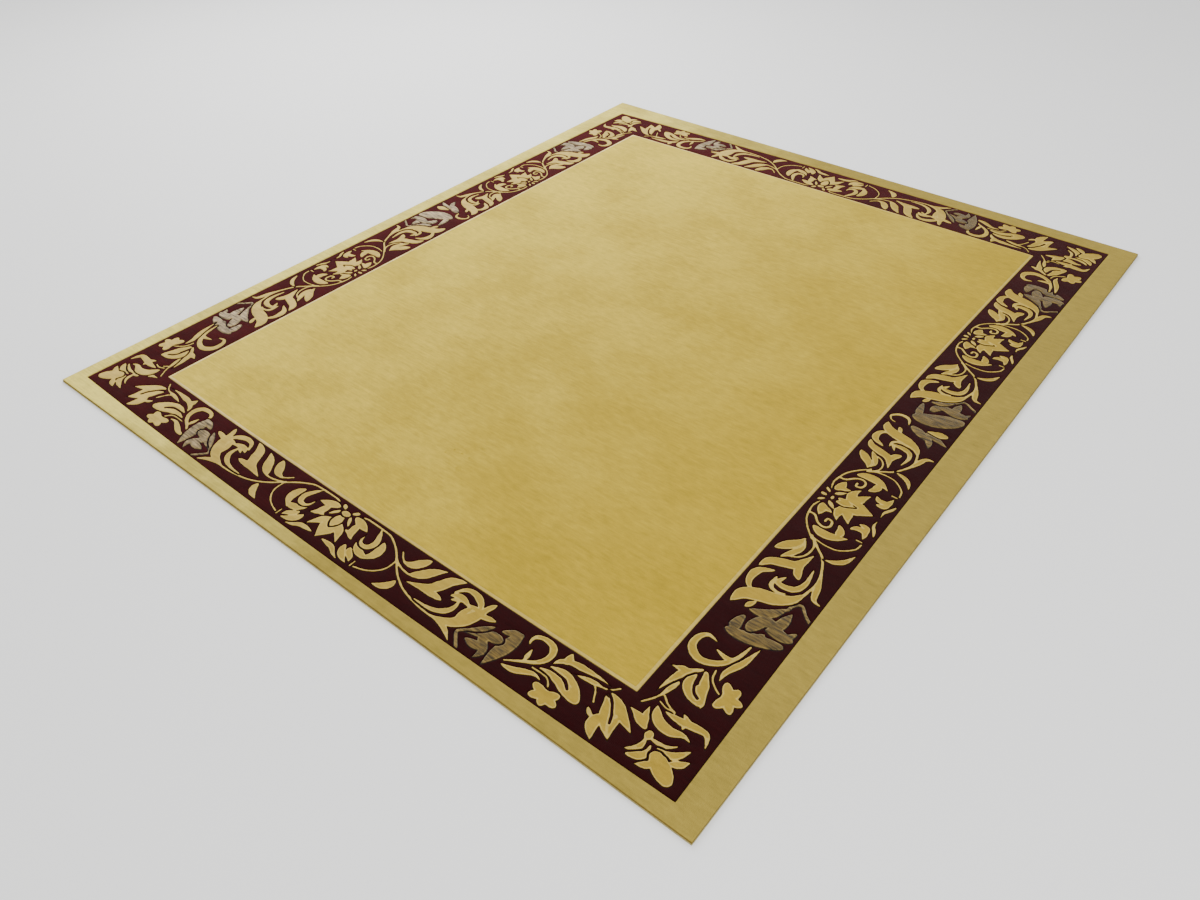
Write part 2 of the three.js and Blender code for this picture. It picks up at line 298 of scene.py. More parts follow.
# Half of the vine loop round a star flower, in mm from the loop's middle outwards, and its width
LOOP_CHART = 155
LOOP_HALF = (
    new("leaf", 28, (113, 122), (124, 96), (120, 70), (104, 44)),
    join("lobe", 22, (114, 66), (92, 68), (76, 78)),
    new(
        "vine", 7, (78, 145), (80, 132), (98, 117), (104, 102), (95, 92), (77, 94), (73, 105), (84, 107),
    ),
    join("vine", 5.5, (155, 104), (127, 127), (102, 141), (77, 147), (52, 149), (30, 143)),
    join("vine", 5, (150, 99), (155, 77), (153, 52), (140, 34), (122, 21), (102, 18)),
    new("leaf", 22, (30, 136), (48, 130), (74, 127)),
    join("leaf", 16, (42, 140), (44, 124), (50, 105)),
    new("leaf", 18, (72, 57), (60, 46), (62, 28), (88, 23)),
    join("leaf", 16, (43, 48), (47, 30), (70, 23)),
    new("leaf", 12, (14, 131), (36, 109)),
    new("leaf", 9, (27, 153), (11, 138)),
    new("leaf", 9, (66, 8), (46, 14), (28, 22), (4, 22)),
    new("vine", 5, (95, 32), (95, 20)),
)
STAR = (
    new("wedge", 54, (2, 34), (0, 70), (0, 106)),
    *petal_pair(25, (69, 88), (47, 97), (10, 98)),
    *petal_pair(27, (63, 64), (41, 76), (8, 88)),
    new("wedge", 20, (1, 76), (-3, 96), (-6, 117)),
    join("wedge", 20, (1, 76), (4, 96), (7, 117)),
    new("drop", 9, (-6, 128), (6, 128)),
    new("drop", 11, (0, 154), (0, 142)),
)

# The wider loop of the short sides
WIDE_LOOP_CHART = 190
WIDE_LOOP_HALF = (
    new("leaf", 24, (132, 126), (141, 102), (140, 76), (122, 47)),
    join("leaf", 22, (134, 58), (110, 62), (94, 72), (81, 86)),
    new(
        "leaf", 16, (98, 153), (110, 132), (119, 108), (114, 88), (100, 83), (88, 92), (84, 116),
    ),
    join(
        "vine", 6, (192, 102), (166, 127), (143, 143), (122, 152), (75, 154), (48, 153), (36, 144),
    ),
    join("vine", 5, (191, 102), (190, 72), (180, 50), (160, 32), (132, 21)),
    new("leaf", 24, (26, 139), (46, 133), (62, 127), (81, 121)),
    join("leaf", 21, (48, 130), (51, 104), (57, 88), (71, 76)),
    join("leaf", 12, (35, 92), (52, 90), (66, 78)),
    new("leaf", 10, (15, 134), (24, 118), (35, 100)),
    new("leaf", 12, (25, 154), (11, 139)),
    new("leaf", 20, (71, 60), (77, 40), (93, 24), (112, 16)),
    join("leaf", 18, (86, 60), (93, 46), (106, 36), (114, 22)),
    new("vine", 4.5, (124, 35), (124, 17)),
    new("leaf", 15, (15, 33), (50, 31), (70, 18), (91, 9)),
)
WIDE_STAR = (
    new("wedge", 46, (-1, 26), (0, 62), (0, 98)),
    *petal_pair(25, (50, 42), (32, 72), (8, 102)),
    new("leaf", 26, (0, 121), (0, 104), (0, 74)),
    new("drop", 18, (-9, 131), (9, 131)),
)

# The hooked leaf, the small leaf and the left half of the lotus in the middle of each long side
MIDDLE_LEAVES = (
    new(
        "hook", 12, (11, 134), (14, 144), (23, 151), (32, 153), (44, 145), (50, 135), (50, 122),
        (42, 112), (18, 105),
    ),
    new("hook", 27, (26, 60), (30, 40), (34, 17)),
)
MIDDLE_LOTUS = (
    new("leaf", 28, (24, 100), (8, 74), (-16, 48)),
    join("leaf", 18, (10, 58), (-15, 44), (-42, 36)),
    join("leaf", 20, (18, 64), (9, 36), (-8, 3)),
    new("drop", 58, (70, 110), (77, 75), (95, 45), (121, 13)),
    join("lobe", 21, (72, 104), (108, 110), (142, 114)),
)

# The right half of the middle lotus, in the place of a whole one
MIDDLE_HEART = (
    new("drop", 32, (94, 68), (86, 46), (84, 30), (86, 11)),
    join("lobe", 13, (82, 20), (94, 14), (107, 8)),
    join("leaf", 23, (84, 43), (114, 42), (143, 40)),
    new("drop", 26, (54, 86), (76, 82), (104, 66)),
    join("drop", 26, (92, 76), (90, 48)),
    new("leaf", 20, (98, 102), (104, 84), (118, 68), (144, 50)),
    join("vine", 8, (138, 52), (150, 46), (158, 36), (145, 19), (132, 4)),
)

# What each run of border holds, in mm from its start. A group with its end first is turned round.
Group = namedtuple("Group", "gold silk chart start end")
Loop = namedtuple("Loop", "half star chart middle half_width")
RUNS = {
    "short": (
        Loop(WIDE_LOOP_HALF, WIDE_STAR, WIDE_LOOP_CHART, 930, 190),
        Group(SHORT_CORNER_LEAF, (), 60, 120, 180),
        Group(SHORT_FLOWER, (), 251, 187, 428),
        Group((), SHORT_LOTUS, 360, 376, 736),
        Group((), SHORT_LOTUS, 360, 1485, 1125),
        Group(SHORT_SCROLL, (), 360, 376, 736),
        Group(SHORT_SCROLL, (), 360, 1481, 1121),
        Group(SHORT_FLOWER, (), 251, 1690, 1450),
        Group(SHORT_CORNER_LEAF, (), 60, 1762, 1702),
    ),
    "long": (
        Loop(LOOP_HALF, STAR, LOOP_CHART, 867, 155),
        Loop(LOOP_HALF, STAR, LOOP_CHART, 1780, 152),
        Group(CORNER_LEAF, (), 60, 92, 152),
        Group(FLOWER, (), 251, 124, 375),
        Group(SCROLL, LOTUS + LOTUS_HEART, 360, 362, 722),
        Group(SCROLL, (), 360, 1294, 1008),
        Group(MIDDLE_LEAVES, MIDDLE_LOTUS, 68, 1230, 1298),
        Group(SCROLL, MIDDLE_HEART, 360, 1298, 1630),
        Group(SCROLL, LOTUS + LOTUS_HEART, 360, 2278, 1922),
        Group(FLOWER, (), 251, 2514, 2258),
        Group(CORNER_LEAF, (), 60, 2550, 2480),
    ),
}

# Kinds of surface, as they are told apart on the rug's top
OUTSIDE, BAND, GROUND, SCROLLS, LOTUSES, GUARD, FIELD = range(7)


def bow(values, t):
    """The value at t along a side, on the curve through its start, middle and end values."""
    start, middle, end = values
    return start * (1 - t) * (1 - 2 * t) + middle * 4 * t * (1 - t) + end * t * (2 * t - 1)


def point_on_side(side, along, inward):
    """The point at a distance along a side and a distance in from its full size, in mm."""
    x = side.corner[0] * RUG_WIDTH / 2 + side.along[0] * along + side.inward[0] * inward
    y = side.corner[1] * RUG_LENGTH / 2 + side.along[1] * along + side.inward[1] * inward
    return np.stack([x, y], axis=-1)


def line_span(index, line):
    """Where a line starts and ends along one side, at the lines of the next sides."""
    before = LINES[line][SIDES[index - 1].name][2]
    after = LINES[line][SIDES[(index + 1) % 4].name][0]
    return before, SIDES[index].length - after


# Distance between the points of a line round the rug, in mm
RING_SPACING = 12.0


def ring(line, extra=0.0, spacing=RING_SPACING):
    """A closed line round the rug, moved further in by an extra distance."""
    parts = []
    for index, side in enumerate(SIDES):
        start, end = line_span(index, line)
        steps = int((end - start) / spacing)
        along = np.linspace(start + extra, end - extra, steps, endpoint=False)
        parts.append(point_on_side(side, along, bow(LINES[line][side.name], along / side.length) + extra))
    return np.concatenate(parts)


def smooth_step(low, high, value):
    """A soft rise from 0 to 1 between two values."""
    t = np.clip((value - low) / (high - low), 0, 1)
    return t * t * (3 - 2 * t)


def border_points(index, points):
    """Charted points of the border, along a side's run and across it, as points of the rug."""
    side = SIDES[index]
    u, v = np.asarray(points, float).T
    run = RUN_LENGTHS[side.run]
    from_far = (run - u) if side.drift > 0 else u
    shift = -side.drift * FAR_SHIFT * (1 - smooth_step(*FAR_SHIFT_FADES, from_far))
    share = (u + shift) / run
    start, end = line_span(index, "border_outer")
    along = start + (end - start) * share + side.drift * ROW_DRIFT * 4 * share * (1 - share)
    outer = bow(LINES["border_outer"][side.name], along / side.length)
    inner = bow(LINES["border_inner"][side.name], along / side.length)
    return point_on_side(side, along, outer + (inner - outer) * v / CHART_HEIGHT)


def corner_points(index, points):
    """Charted points of the palmette at the corner where a side starts, as points of the rug."""
    side, before = SIDES[index], SIDES[index - 1]
    p, q = np.asarray(points, float).T / CHART_HEIGHT
    outer_before = LINES["border_outer"][before.name][2]
    inner_before = LINES["border_inner"][before.name][2]
    outer = LINES["border_outer"][side.name][0]
    inner = LINES["border_inner"][side.name][0]
    along = outer_before + (inner_before - outer_before) * p
    return point_on_side(side, along, outer + (inner - outer) * q)


# The grid on which the pattern is worked out, its margin and how far from a stroke it is true, in mm
GRID_STEP = 1.5
GRID_MARGIN = 8 * GRID_STEP
REACH = 12.0
FAR_AWAY = 1e6

# Width of a carved line, and of the soft corner where one stroke grows out of another, in mm
CARVED_LINE = 3.6
JOIN_FILLET = 3.0

# How finely a stroke's middle line is stepped
SAMPLES_PER_SPAN = 7
SHORTEST_STEP = 1e-9

# How far each outline wobbles in mm, and the scale, bend and bend's scale of the wobble each way
WOBBLE = 0.5
WOBBLE_ACROSS = (3.1, 1.7, 5.3)
WOBBLE_ALONG = (2.9, 1.3, 4.7)


def bent(along, across, scale, bend, bend_scale):
    """The phase of a wave that bends to and fro on its way."""
    return along / scale + bend * np.sin(across / bend_scale)


def smooth_curve(points, samples=SAMPLES_PER_SPAN):
    """Points on the smooth curve through a few given ones, close together."""
    points = np.asarray(points, float)
    ends = np.vstack([2 * points[0] - points[1], points, 2 * points[-1] - points[-2]])
    t = np.linspace(0, 1, samples, endpoint=False)[:, None]
    parts = []
    for a, b, c, d in zip(ends[:-3], ends[1:-2], ends[2:-1], ends[3:]):
        parts.append(0.5 * (
            2 * b + (c - a) * t + (2 * a - 5 * b + 4 * c - d) * t ** 2 + (3 * b - a - 3 * c + d) * t ** 3
        ))
    return np.vstack(parts + [points[-1:]])


class PatternField:
    """Signed distances over the whole rug, in mm, below zero inside what they describe."""

    def __init__(self):
        self.x, self.y = (
            np.arange(-size / 2 - GRID_MARGIN, size / 2 + GRID_MARGIN, GRID_STEP)
            for size in (RUG_WIDTH, RUG_LENGTH)
        )
        shape = (len(self.y), len(self.x))
        self.gold = np.full(shape, REACH, np.float32)
        self.silk = np.full(shape, REACH, np.float32)
        self.from_edge = self.inside_of("edge")
        self.from_outer = self.inside_of("border_outer")
        self.from_inner = -self.inside_of("border_inner")

    def inside_of(self, line):
        """Distance in from one line round the rug, below zero outside it."""
        x, y = np.meshgrid(self.x, self.y)
        nearest = np.full(x.shape, FAR_AWAY, np.float32)
        for side in SIDES:
            shifted_x = x - side.corner[0] * RUG_WIDTH / 2
            shifted_y = y - side.corner[1] * RUG_LENGTH / 2
            along = side.along[0] * shifted_x + side.along[1] * shifted_y
            inward = side.inward[0] * shifted_x + side.inward[1] * shifted_y
            distance = inward - bow(LINES[line][side.name], along / side.length)
            np.minimum(nearest, distance, out=nearest)
        return nearest

    def window(self, low, high):
        """The rows and columns of the grid that a box covers."""
        columns = slice(*np.searchsorted(self.x, [low[0], high[0]]))
        rows = slice(*np.searchsorted(self.y, [low[1], high[1]]))
        return rows, columns

    def add(self, stroke, spine, scale, target, other):
        """Lays one stroke over the pattern. The spine is in mm of the rug."""
        curve = smooth_curve(spine)
        steps = np.linalg.norm(np.diff(curve, axis=0), axis=1)
        share = np.concatenate([[0], np.cumsum(steps)]) / steps.sum()
        halves = FORMS[stroke.form](np.clip(share, 0, 1)) * stroke.width * scale / 2
        reach = REACH + stroke.width * scale / 2
        rows, columns = self.window(curve.min(0) - reach, curve.max(0) + reach)
        distance = np.full(self.gold[rows, columns].shape, REACH, np.float32)
        left, low = columns.start, rows.start
        for a, b, half_a, half_b in zip(curve[:-1], curve[1:], halves[:-1], halves[1:]):
            near_rows, near_columns = self.window(np.minimum(a, b) - reach, np.maximum(a, b) + reach)
            x = (self.x[near_columns] - a[0])[None, :]
            y = (self.y[near_rows] - a[1])[:, None]
            run = b - a
            t = np.clip((x * run[0] + y * run[1]) / max(run @ run, SHORTEST_STEP), 0, 1)
            away = np.hypot(x - t * run[0], y - t * run[1]) - (half_a + t * (half_b - half_a))
            part = distance[
                near_rows.start - low:near_rows.stop - low,
                near_columns.start - left:near_columns.stop - left,
            ]
            np.minimum(part, away, out=part)
        self.combine(stroke.mode, distance, target[rows, columns], other[rows, columns])

    def combine(self, mode, distance, target, other):
        """Joins a stroke's distance to its own yarn, or carves it out of both."""
        if mode == "cut":
            np.maximum(target, -distance, out=target)
            np.maximum(other, -distance, out=other)
            return
        np.maximum(other, CARVED_LINE - distance, out=other)
        if mode == "new":
            np.maximum(target, CARVED_LINE - distance, out=target)
            np.minimum(target, distance, out=target)
            return
        blend = np.clip(JOIN_FILLET - np.abs(target - distance), 0, None) / JOIN_FILLET
        np.minimum(target, distance, out=target)
        target -= blend ** 2 * JOIN_FILLET / 4

    def finish(self):
        """Keeps a carved line along the border's edges, and joins all that stands above the ground."""
        edge_line = np.maximum(CARVED_LINE - self.from_inner, CARVED_LINE - self.from_outer)
        np.maximum(self.gold, edge_line, out=self.gold)
        np.maximum(self.silk, edge_line, out=self.silk)
        x, y = np.meshgrid(self.x, self.y)
        wobble = WOBBLE * np.sin(bent(x, y, *WOBBLE_ACROSS)) * np.sin(bent(y, x, *WOBBLE_ALONG))
        self.gold += wobble
        self.silk += wobble
        self.raised = np.minimum(
            np.minimum(self.gold, self.silk), np.minimum(self.from_inner, self.from_outer)
        )

    def sample(self, values, points):
        """Values of one of the fields at points of the rug."""
        column = np.clip((points[:, 0] - self.x[0]) / GRID_STEP, 0, len(self.x) - 1.001)
        row = np.clip((points[:, 1] - self.y[0]) / GRID_STEP, 0, len(self.y) - 1.001)
        i, j = column.astype(int), row.astype(int)
        a, b = column - i, row - j
        below = values[j, i] * (1 - a) + values[j, i + 1] * a
        above = values[j + 1, i] * (1 - a) + values[j + 1, i + 1] * a
        return below * (1 - b) + above * b

    def kinds(self, points):
        """What the rug shows at each point."""
        names = ("from_edge", "from_inner", "from_outer", "gold", "silk")
        from_edge, from_inner, from_outer, gold, silk = (
            self.sample(getattr(self, name), points) for name in names
        )
        kinds = np.full(len(points), GROUND)
        kinds[(gold < 0) & (gold <= silk)] = SCROLLS
        kinds[(silk < 0) & (silk < gold)] = LOTUSES
        kinds[from_inner < 0] = GUARD
        kinds[from_inner < -GUARD_WIDTH] = FIELD
        kinds[from_outer < 0] = BAND
        kinds[from_edge < 0] = OUTSIDE
        return kinds


def group_strokes(group, strokes, index):
    """A group's strokes with their middle lines on the rug and the scale of their widths."""
    stretch = (group.end - group.start) / group.chart
    for stroke in strokes:
        spine = [(group.start + stretch * u, v) for u, v in stroke.spine]
        yield stroke, border_points(index, spine), (1 + abs(stretch)) / 2


def loop_strokes(loop, index):
    """The strokes of one vine loop and its star flower, both halves."""
    stretch = loop.half_width / loop.chart
    halves = [(stroke, side) for stroke in loop.half for side in (-1, 1)]
    for stroke, side in halves + [(stroke, 1) for stroke in loop.star]:
        spine = [(loop.middle + side * stretch * u, v) for u, v in stroke.spine]
        yield stroke, border_points(index, spine), (1 + stretch) / 2


@lru_cache(maxsize=1)
def pattern_field():
    """The whole border pattern, laid stroke by stroke."""
    field = PatternField()
    gold, silk = field.gold, field.silk
    for index, side in enumerate(SIDES):
        for stroke in PALMETTE:
            field.add(stroke, corner_points(index, stroke.spine), 1, gold, silk)
        for part in RUNS[side.run]:
            if isinstance(part, Loop):
                for stroke, spine, scale in loop_strokes(part, index):
                    field.add(stroke, spine, scale, gold, silk)
                continue
            for stroke, spine, scale in group_strokes(part, part.silk, index):
                field.add(stroke, spine, scale, silk, gold)
            for stroke, spine, scale in group_strokes(part, part.gold, index):
                field.add(stroke, spine, scale, gold, silk)
    field.finish()
    return field


# The lines that the surface is built on: distances from a carved outline, in mm. Below zero lies
# the raised pile and above it the ground. Each line's points are spaced by these two measures.
PILE_LINES = (-1.0, -2.6, -5.0)
GROUND_LINES = (1.4, 3.4)
LONGEST_STEP = 9.0
LARGEST_TURN = 0.5
FEWEST_POINTS = 5

# Outlines of no more than this are left out, in points of the grid and in square mm
FEWEST_GRID_POINTS = 6
SMALLEST_ISLAND = 16.0

# How far in from the rug's edge its round shoulder has its lines, and the guard stripe's width, in mm
SHOULDER_LINES = (0.8, 2.2, 4.6)
GUARD_WIDTH = 8.0

# Spacing of the loose points, and how far they stay from the carved lines and the edge, in mm
FIELD_SPACING = 24.0
FIELD_MARGIN = 14
BAND_SPACING = 14.0
BAND_MARGIN = 10
EDGE_MARGIN = 9

# How near two points are taken as one, on the surface and in the flat caps, in mm
SURFACE_TOLERANCE = 1e-4
CAP_TOLERANCE = 1e-5

# How far in from a carved line or the rug's edge the pile is rounded over, in mm
PILE_ROUNDING = 5.2
GROUND_ROUNDING = 3.6
EDGE_ROUNDING = 4.6

# Points this near to a carved outline lie at the bottom of its groove, in mm
ON_OUTLINE = 0.35

# The scale, bend and bend's scale of the slow waves in the pile each way, in mm
WAVES_ACROSS = (97, 1.3, 161)
WAVES_ALONG = (83, 0.9, 127)

# Two soft creases that the rug kept from being folded, and how far their closer points reach, in mm
Crease = namedtuple("Crease", "start end height spread")
CREASES = (
    Crease((-95, -1187), (-77, -1035), 1.3, 9),
    Crease((32, -921), (46, -834), 1.1, 8),
)
CREASE_SPACING = 6.0
CREASE_REACH = 3

# More than the number of points in the whole rug, so that two points make one number
MOST_POINTS = 10_000_000

# The pile's bottoms stand this far inside the knotted back, in mm
OVERLAP = 0.1


def grid_lines(values, level):
    """Closed lines on which a field passes a level, in rows and columns of the grid."""
    rows, columns = values.shape
    below = values < level
    a, b = below[:-1, :-1], below[:-1, 1:]
    c, d = below[1:, 1:], below[1:, :-1]
    case = a * 1 + b * 2 + c * 4 + d * 8
    j, i = np.nonzero((case > 0) & (case < 15))
    case = case[j, i]
    size = rows * columns
    near, far = j * columns + i, (j + 1) * columns + i
    left, right = size + j * columns + i, size + j * columns + i + 1
    sides = {"near": near, "far": far, "left": left, "right": right}
    turns = {
        1: (("near", "left"),), 2: (("right", "near"),), 3: (("right", "left"),),
        4: (("far", "right"),), 5: (("near", "left"), ("far", "right")), 6: (("far", "near"),),
        7: (("far", "left"),), 8: (("left", "far"),), 9: (("near", "far"),),
        10: (("right", "near"), ("left", "far")), 11: (("right", "far"),),
        12: (("left", "right"),), 13: (("near", "right"),), 14: (("left", "near"),),
    }
    follow = {}
    for number, pairs in turns.items():
        chosen = case == number
        for first, last in pairs:
            follow.update(zip(sides[first][chosen].tolist(), sides[last][chosen].tolist()))
    flat = values.ravel()
    lines = []
    while follow:
        first, here = follow.popitem()
        line = [first]
        while here != first and here in follow:
            line.append(here)
            here = follow.pop(here)
        edges = np.array(line)
        across = edges < size
        start = np.where(across, edges, edges - size)
        end = np.where(across, start + 1, start + columns)
        share = (level - flat[start]) / (flat[end] - flat[start])
        row = start // columns + np.where(across, 0, share)
        column = start % columns + np.where(across, share, 0)
        lines.append(np.stack([column, row], axis=1))
    return lines


def respaced(line):
    """A closed line with its grid noise smoothed out and its points closer where it turns."""
    for _ in range(2):
        line = (np.roll(line, 1, axis=0) + 2 * line + np.roll(line, -1, axis=0)) / 4
    step = np.roll(line, -1, axis=0) - line
    length = np.hypot(*step.T)
    angle = np.arctan2(step[:, 1], step[:, 0])
    turn = np.abs((np.diff(angle, append=angle[:1]) + np.pi) % (2 * np.pi) - np.pi)
    cost = length / LONGEST_STEP + turn / LARGEST_TURN
    total = np.concatenate([[0], np.cumsum(cost)])
    count = max(FEWEST_POINTS, math.ceil(total[-1]))
    wanted = np.linspace(0, total[-1], count, endpoint=False)
    closed = np.vstack([line, line[:1]])
    return np.stack([np.interp(wanted, total, closed[:, axis]) for axis in (0, 1)], axis=1)


def area_of(line):
    """The area inside a closed line."""
    x, y = line.T
    return abs(np.sum(x * np.roll(y, -1) - y * np.roll(x, -1))) / 2


def rug_lines(field, values, level):
    """Closed lines on the rug, in mm, on which a field passes a level."""
    for line in grid_lines(values, level):
        line = line * GRID_STEP + [field.x[0], field.y[0]]
        if len(line) > FEWEST_GRID_POINTS and area_of(line) > SMALLEST_ISLAND:
            yield respaced(line)


def staggered(low, high, spacing):
    """Loose points in staggered rows over a box."""
    x, y = np.meshgrid(*(np.arange(a, b, spacing) for a, b in zip(low, high)))
    x = x + spacing / 2 * (np.arange(len(x)) % 2)[:, None]
    return np.stack([x.ravel(), y.ravel()], axis=1)


class Sheet:
    """The rug's top as triangles, each with the kind of surface that it shows."""

    def __init__(self, field):
        self.field = field
        self.carved = np.maximum(field.raised, -np.abs(field.from_inner + GUARD_WIDTH))
        self.points, self.edges = [], []
        self.count = 0
        self.add_outlines()
        self.outline_edges = len(self.edges)
        self.add_slopes()
        self.add_plain_points()
        self.add_crease_points()
        self.triangulate()

    def add_points(self, points):
        """Adds points of the rug."""
        self.points.append(points)
        self.count += len(points)

    def add_line(self, line):
        """Adds a closed line of points that triangles may not cross."""
        numbers = np.arange(self.count, self.count + len(line))
        self.edges.extend(zip(numbers.tolist(), np.roll(numbers, -1).tolist()))
        self.add_points(line)

    def add_outlines(self):
        """The carved outlines, the guard stripe's groove and the rug's edge."""
        for line in rug_lines(self.field, self.field.raised, 0.0):
            self.add_line(line)
        for line in rug_lines(self.field, self.field.from_inner + GUARD_WIDTH, 0.0):
            self.add_line(line)
        self.add_line(ring("edge"))

    def add_slopes(self):
        """The lines on either side of each outline that round the pile over."""
        for level in PILE_LINES + GROUND_LINES:
            for line in rug_lines(self.field, self.carved, level):
                self.add_line(line)
        for inset in SHOULDER_LINES:
            self.add_line(ring("edge", inset))

    def add_plain_points(self):
        """Loose points over the field and the outer band, for the gentle unevenness."""
        half = np.array([RUG_WIDTH, RUG_LENGTH]) / 2
        field = self.field
        points = staggered(-half, half, FIELD_SPACING)
        self.add_points(points[field.sample(field.from_inner, points) < -GUARD_WIDTH - FIELD_MARGIN])
        points = staggered(-half, half, BAND_SPACING)
        outside_border = field.sample(field.from_outer, points) < -BAND_MARGIN
        inside_edge = field.sample(field.from_edge, points) > EDGE_MARGIN
        self.add_points(points[outside_border & inside_edge])

    def add_crease_points(self):
        """Closer points over the creases."""
        for crease in CREASES:
            low = np.minimum(crease.start, crease.end) - CREASE_REACH * crease.spread
            high = np.maximum(crease.start, crease.end) + CREASE_REACH * crease.spread
            self.add_points(staggered(low, high, CREASE_SPACING))

    def triangulate(self):
        """Joins all points by triangles that keep to the lines, and finds what each one shows."""
        points = [Vector(p) for p in np.concatenate(self.points)]
        found = delaunay_2d_cdt(points, self.edges, [], 0, SURFACE_TOLERANCE, True)
        vertices, edges, faces, _, edge_sources, _ = found
        self.xy = np.array([v[:] for v in vertices])
        triangles, areas = facing_up(self.xy, np.array(faces))
        is_outline = np.array([any(k < self.outline_edges for k in ks) for ks in edge_sources])
        outlines = np.sort(np.array(edges)[is_outline], axis=1)
        self.tell_regions(triangles, areas, outlines)

    def tell_regions(self, triangles, areas, outlines):
        """Gives each region between outlines the kind that most of its area has."""
        label = connected(triangles, outlines)
        kinds = self.field.kinds(self.xy[triangles].mean(axis=1))
        votes = np.zeros((len(triangles), FIELD + 1))
        np.add.at(votes, (label, kinds), areas)
        self.kinds = votes.argmax(axis=1)[label]
        self.triangles = triangles[self.kinds != OUTSIDE]
        self.kinds = self.kinds[self.kinds != OUTSIDE]

    def heights(self, sizes):
        """Height of each point in mm, rounded over towards every carved line and the edge."""
        field, xy = self.field, self.xy
        carved = field.sample(self.carved, xy)
        raised = field.sample(field.raised, xy)
        edge = field.sample(field.from_edge, xy)
        inner = field.sample(field.from_inner, xy)
        top, ground_top = sizes.pile_height / MM, sizes.ground_height / MM
        groove, rim_height = sizes.groove_height / MM, sizes.rim_height / MM
        floor = np.where(inner < -GUARD_WIDTH / 2, sizes.guard_groove_height / MM, groove)
        up = np.clip(-carved / PILE_ROUNDING, 0, 1)
        pile = floor + (top - floor) * quarter_round(up)
        ground = groove + (ground_top - groove) * quarter_round(carved / GROUND_ROUNDING)
        height = np.where(raised < 0, pile, ground)
        height = np.where(np.abs(raised) < ON_OUTLINE, groove, height)
        height = np.minimum(height, rim_height + (top - rim_height) * quarter_round(edge / EDGE_ROUNDING))
        x, y = xy.T
        wave = np.sin(bent(x, y, *WAVES_ACROSS)) * np.cos(bent(y, x, *WAVES_ALONG))
        return height - sizes.unevenness / MM * (1 + wave) / 2 * up + crease_height(xy)


def crease_height(xy):
    """How far the creases lift the pile at each point, in mm."""
    lift = np.zeros(len(xy))
    for crease in CREASES:
        start, run = np.array(crease.start, float), np.subtract(crease.end, crease.start)
        share = (xy - start) @ run / (run @ run)
        away = np.linalg.norm(xy - start - np.clip(share, 0, 1)[:, None] * run, axis=1)
        lift += crease.height * np.exp(-(away / crease.spread) ** 2)
    return lift


def quarter_round(share):
    """Rises from 0 to 1 in a quarter circle."""
    return np.sqrt(1 - (1 - np.clip(share, 0, 1)) ** 2)


@lru_cache(maxsize=1)
def rug_sheet():
    """The triangles of the rug's top."""
    return Sheet(pattern_field())


def edges_of(triangles):
    """The edges of the triangles in their direction: all first ones, then all second, then all third."""
    return np.concatenate([triangles[:, [0, 1]], triangles[:, [1, 2]], triangles[:, [2, 0]]])


def edge_keys(edges):
    """One number for each edge, the same in both directions."""
    low, high = np.sort(edges, axis=1).T
    return low * MOST_POINTS + high


def connected(triangles, fences):
    """A number for each triangle, the same for all that can be reached without crossing a fence."""
    keys = edge_keys(edges_of(triangles))
    owners = np.tile(np.arange(len(triangles)), 3)
    order = np.argsort(keys, kind="stable")
    keys, owners = keys[order], owners[order]
    shared = np.nonzero(keys[1:] == keys[:-1])[0]
    shared = shared[~np.isin(keys[shared], edge_keys(fences))]
    left, right = owners[shared], owners[shared + 1]
    label = np.arange(len(triangles))
    while True:
        before = label.copy()
        lowest = np.minimum(label[left], label[right])
        np.minimum.at(label, label[left], lowest)
        np.minimum.at(label, label[right], lowest)
        label = label[label[label]]
        if np.array_equal(before, label):
            return label


def border_edges(triangles):
    """Edges that only one of these triangles has, each in the direction of its triangle."""
    edges = edges_of(triangles)
    _, first, uses = np.unique(edge_keys(edges), return_index=True, return_counts=True)
    return edges[first[uses == 1]]


def facing_up(xy, triangles):
    """The same triangles, all turned to the same side, and the area of each."""
    a, b, c = (xy[triangles[:, k]] for k in range(3))
    turned = (b[:, 0] - a[:, 0]) * (c[:, 1] - a[:, 1]) - (b[:, 1] - a[:, 1]) * (c[:, 0] - a[:, 0])
    return np.where(turned[:, None] < 0, triangles[:, ::-1], triangles), np.abs(turned) / 2


def fill(xy, edges):
    """Triangles that fill what lies to the left of closed lines of edges."""
    used = np.unique(edges)
    points = [Vector(p) for p in xy[used]]
    places = np.searchsorted(used, edges)
    _, _, faces, sources, _, _ = delaunay_2d_cdt(points, places.tolist(), [], 1, CAP_TOLERANCE, True)
    source = np.array([s[0] for s in sources])
    triangles, _ = facing_up(xy, used[source[np.array(faces)]])
    directed = edges_of(triangles) @ [MOST_POINTS, 1]
    starts = np.isin(directed, edges @ [MOST_POINTS, 1]).reshape(3, -1).any(axis=0)
    label = connected(triangles, edges)
    return triangles[np.isin(label, label[starts])]


def mesh_object(name, points, faces, smooth, materials, indices=None):
    """A new object of triangles in metres, with its materials."""
    mesh = bpy.data.meshes.new(name)
    mesh.from_pydata(points.tolist(), [], faces.tolist())
    mesh.polygons.foreach_set("use_smooth", smooth)
    for item in materials:
        mesh.materials.append(item)
    if indices is not None:
        mesh.polygons.foreach_set("material_index", indices)
    mesh.update()
    made = bpy.data.objects.new(name, mesh)
    bpy.context.scene.collection.objects.link(made)
    return made


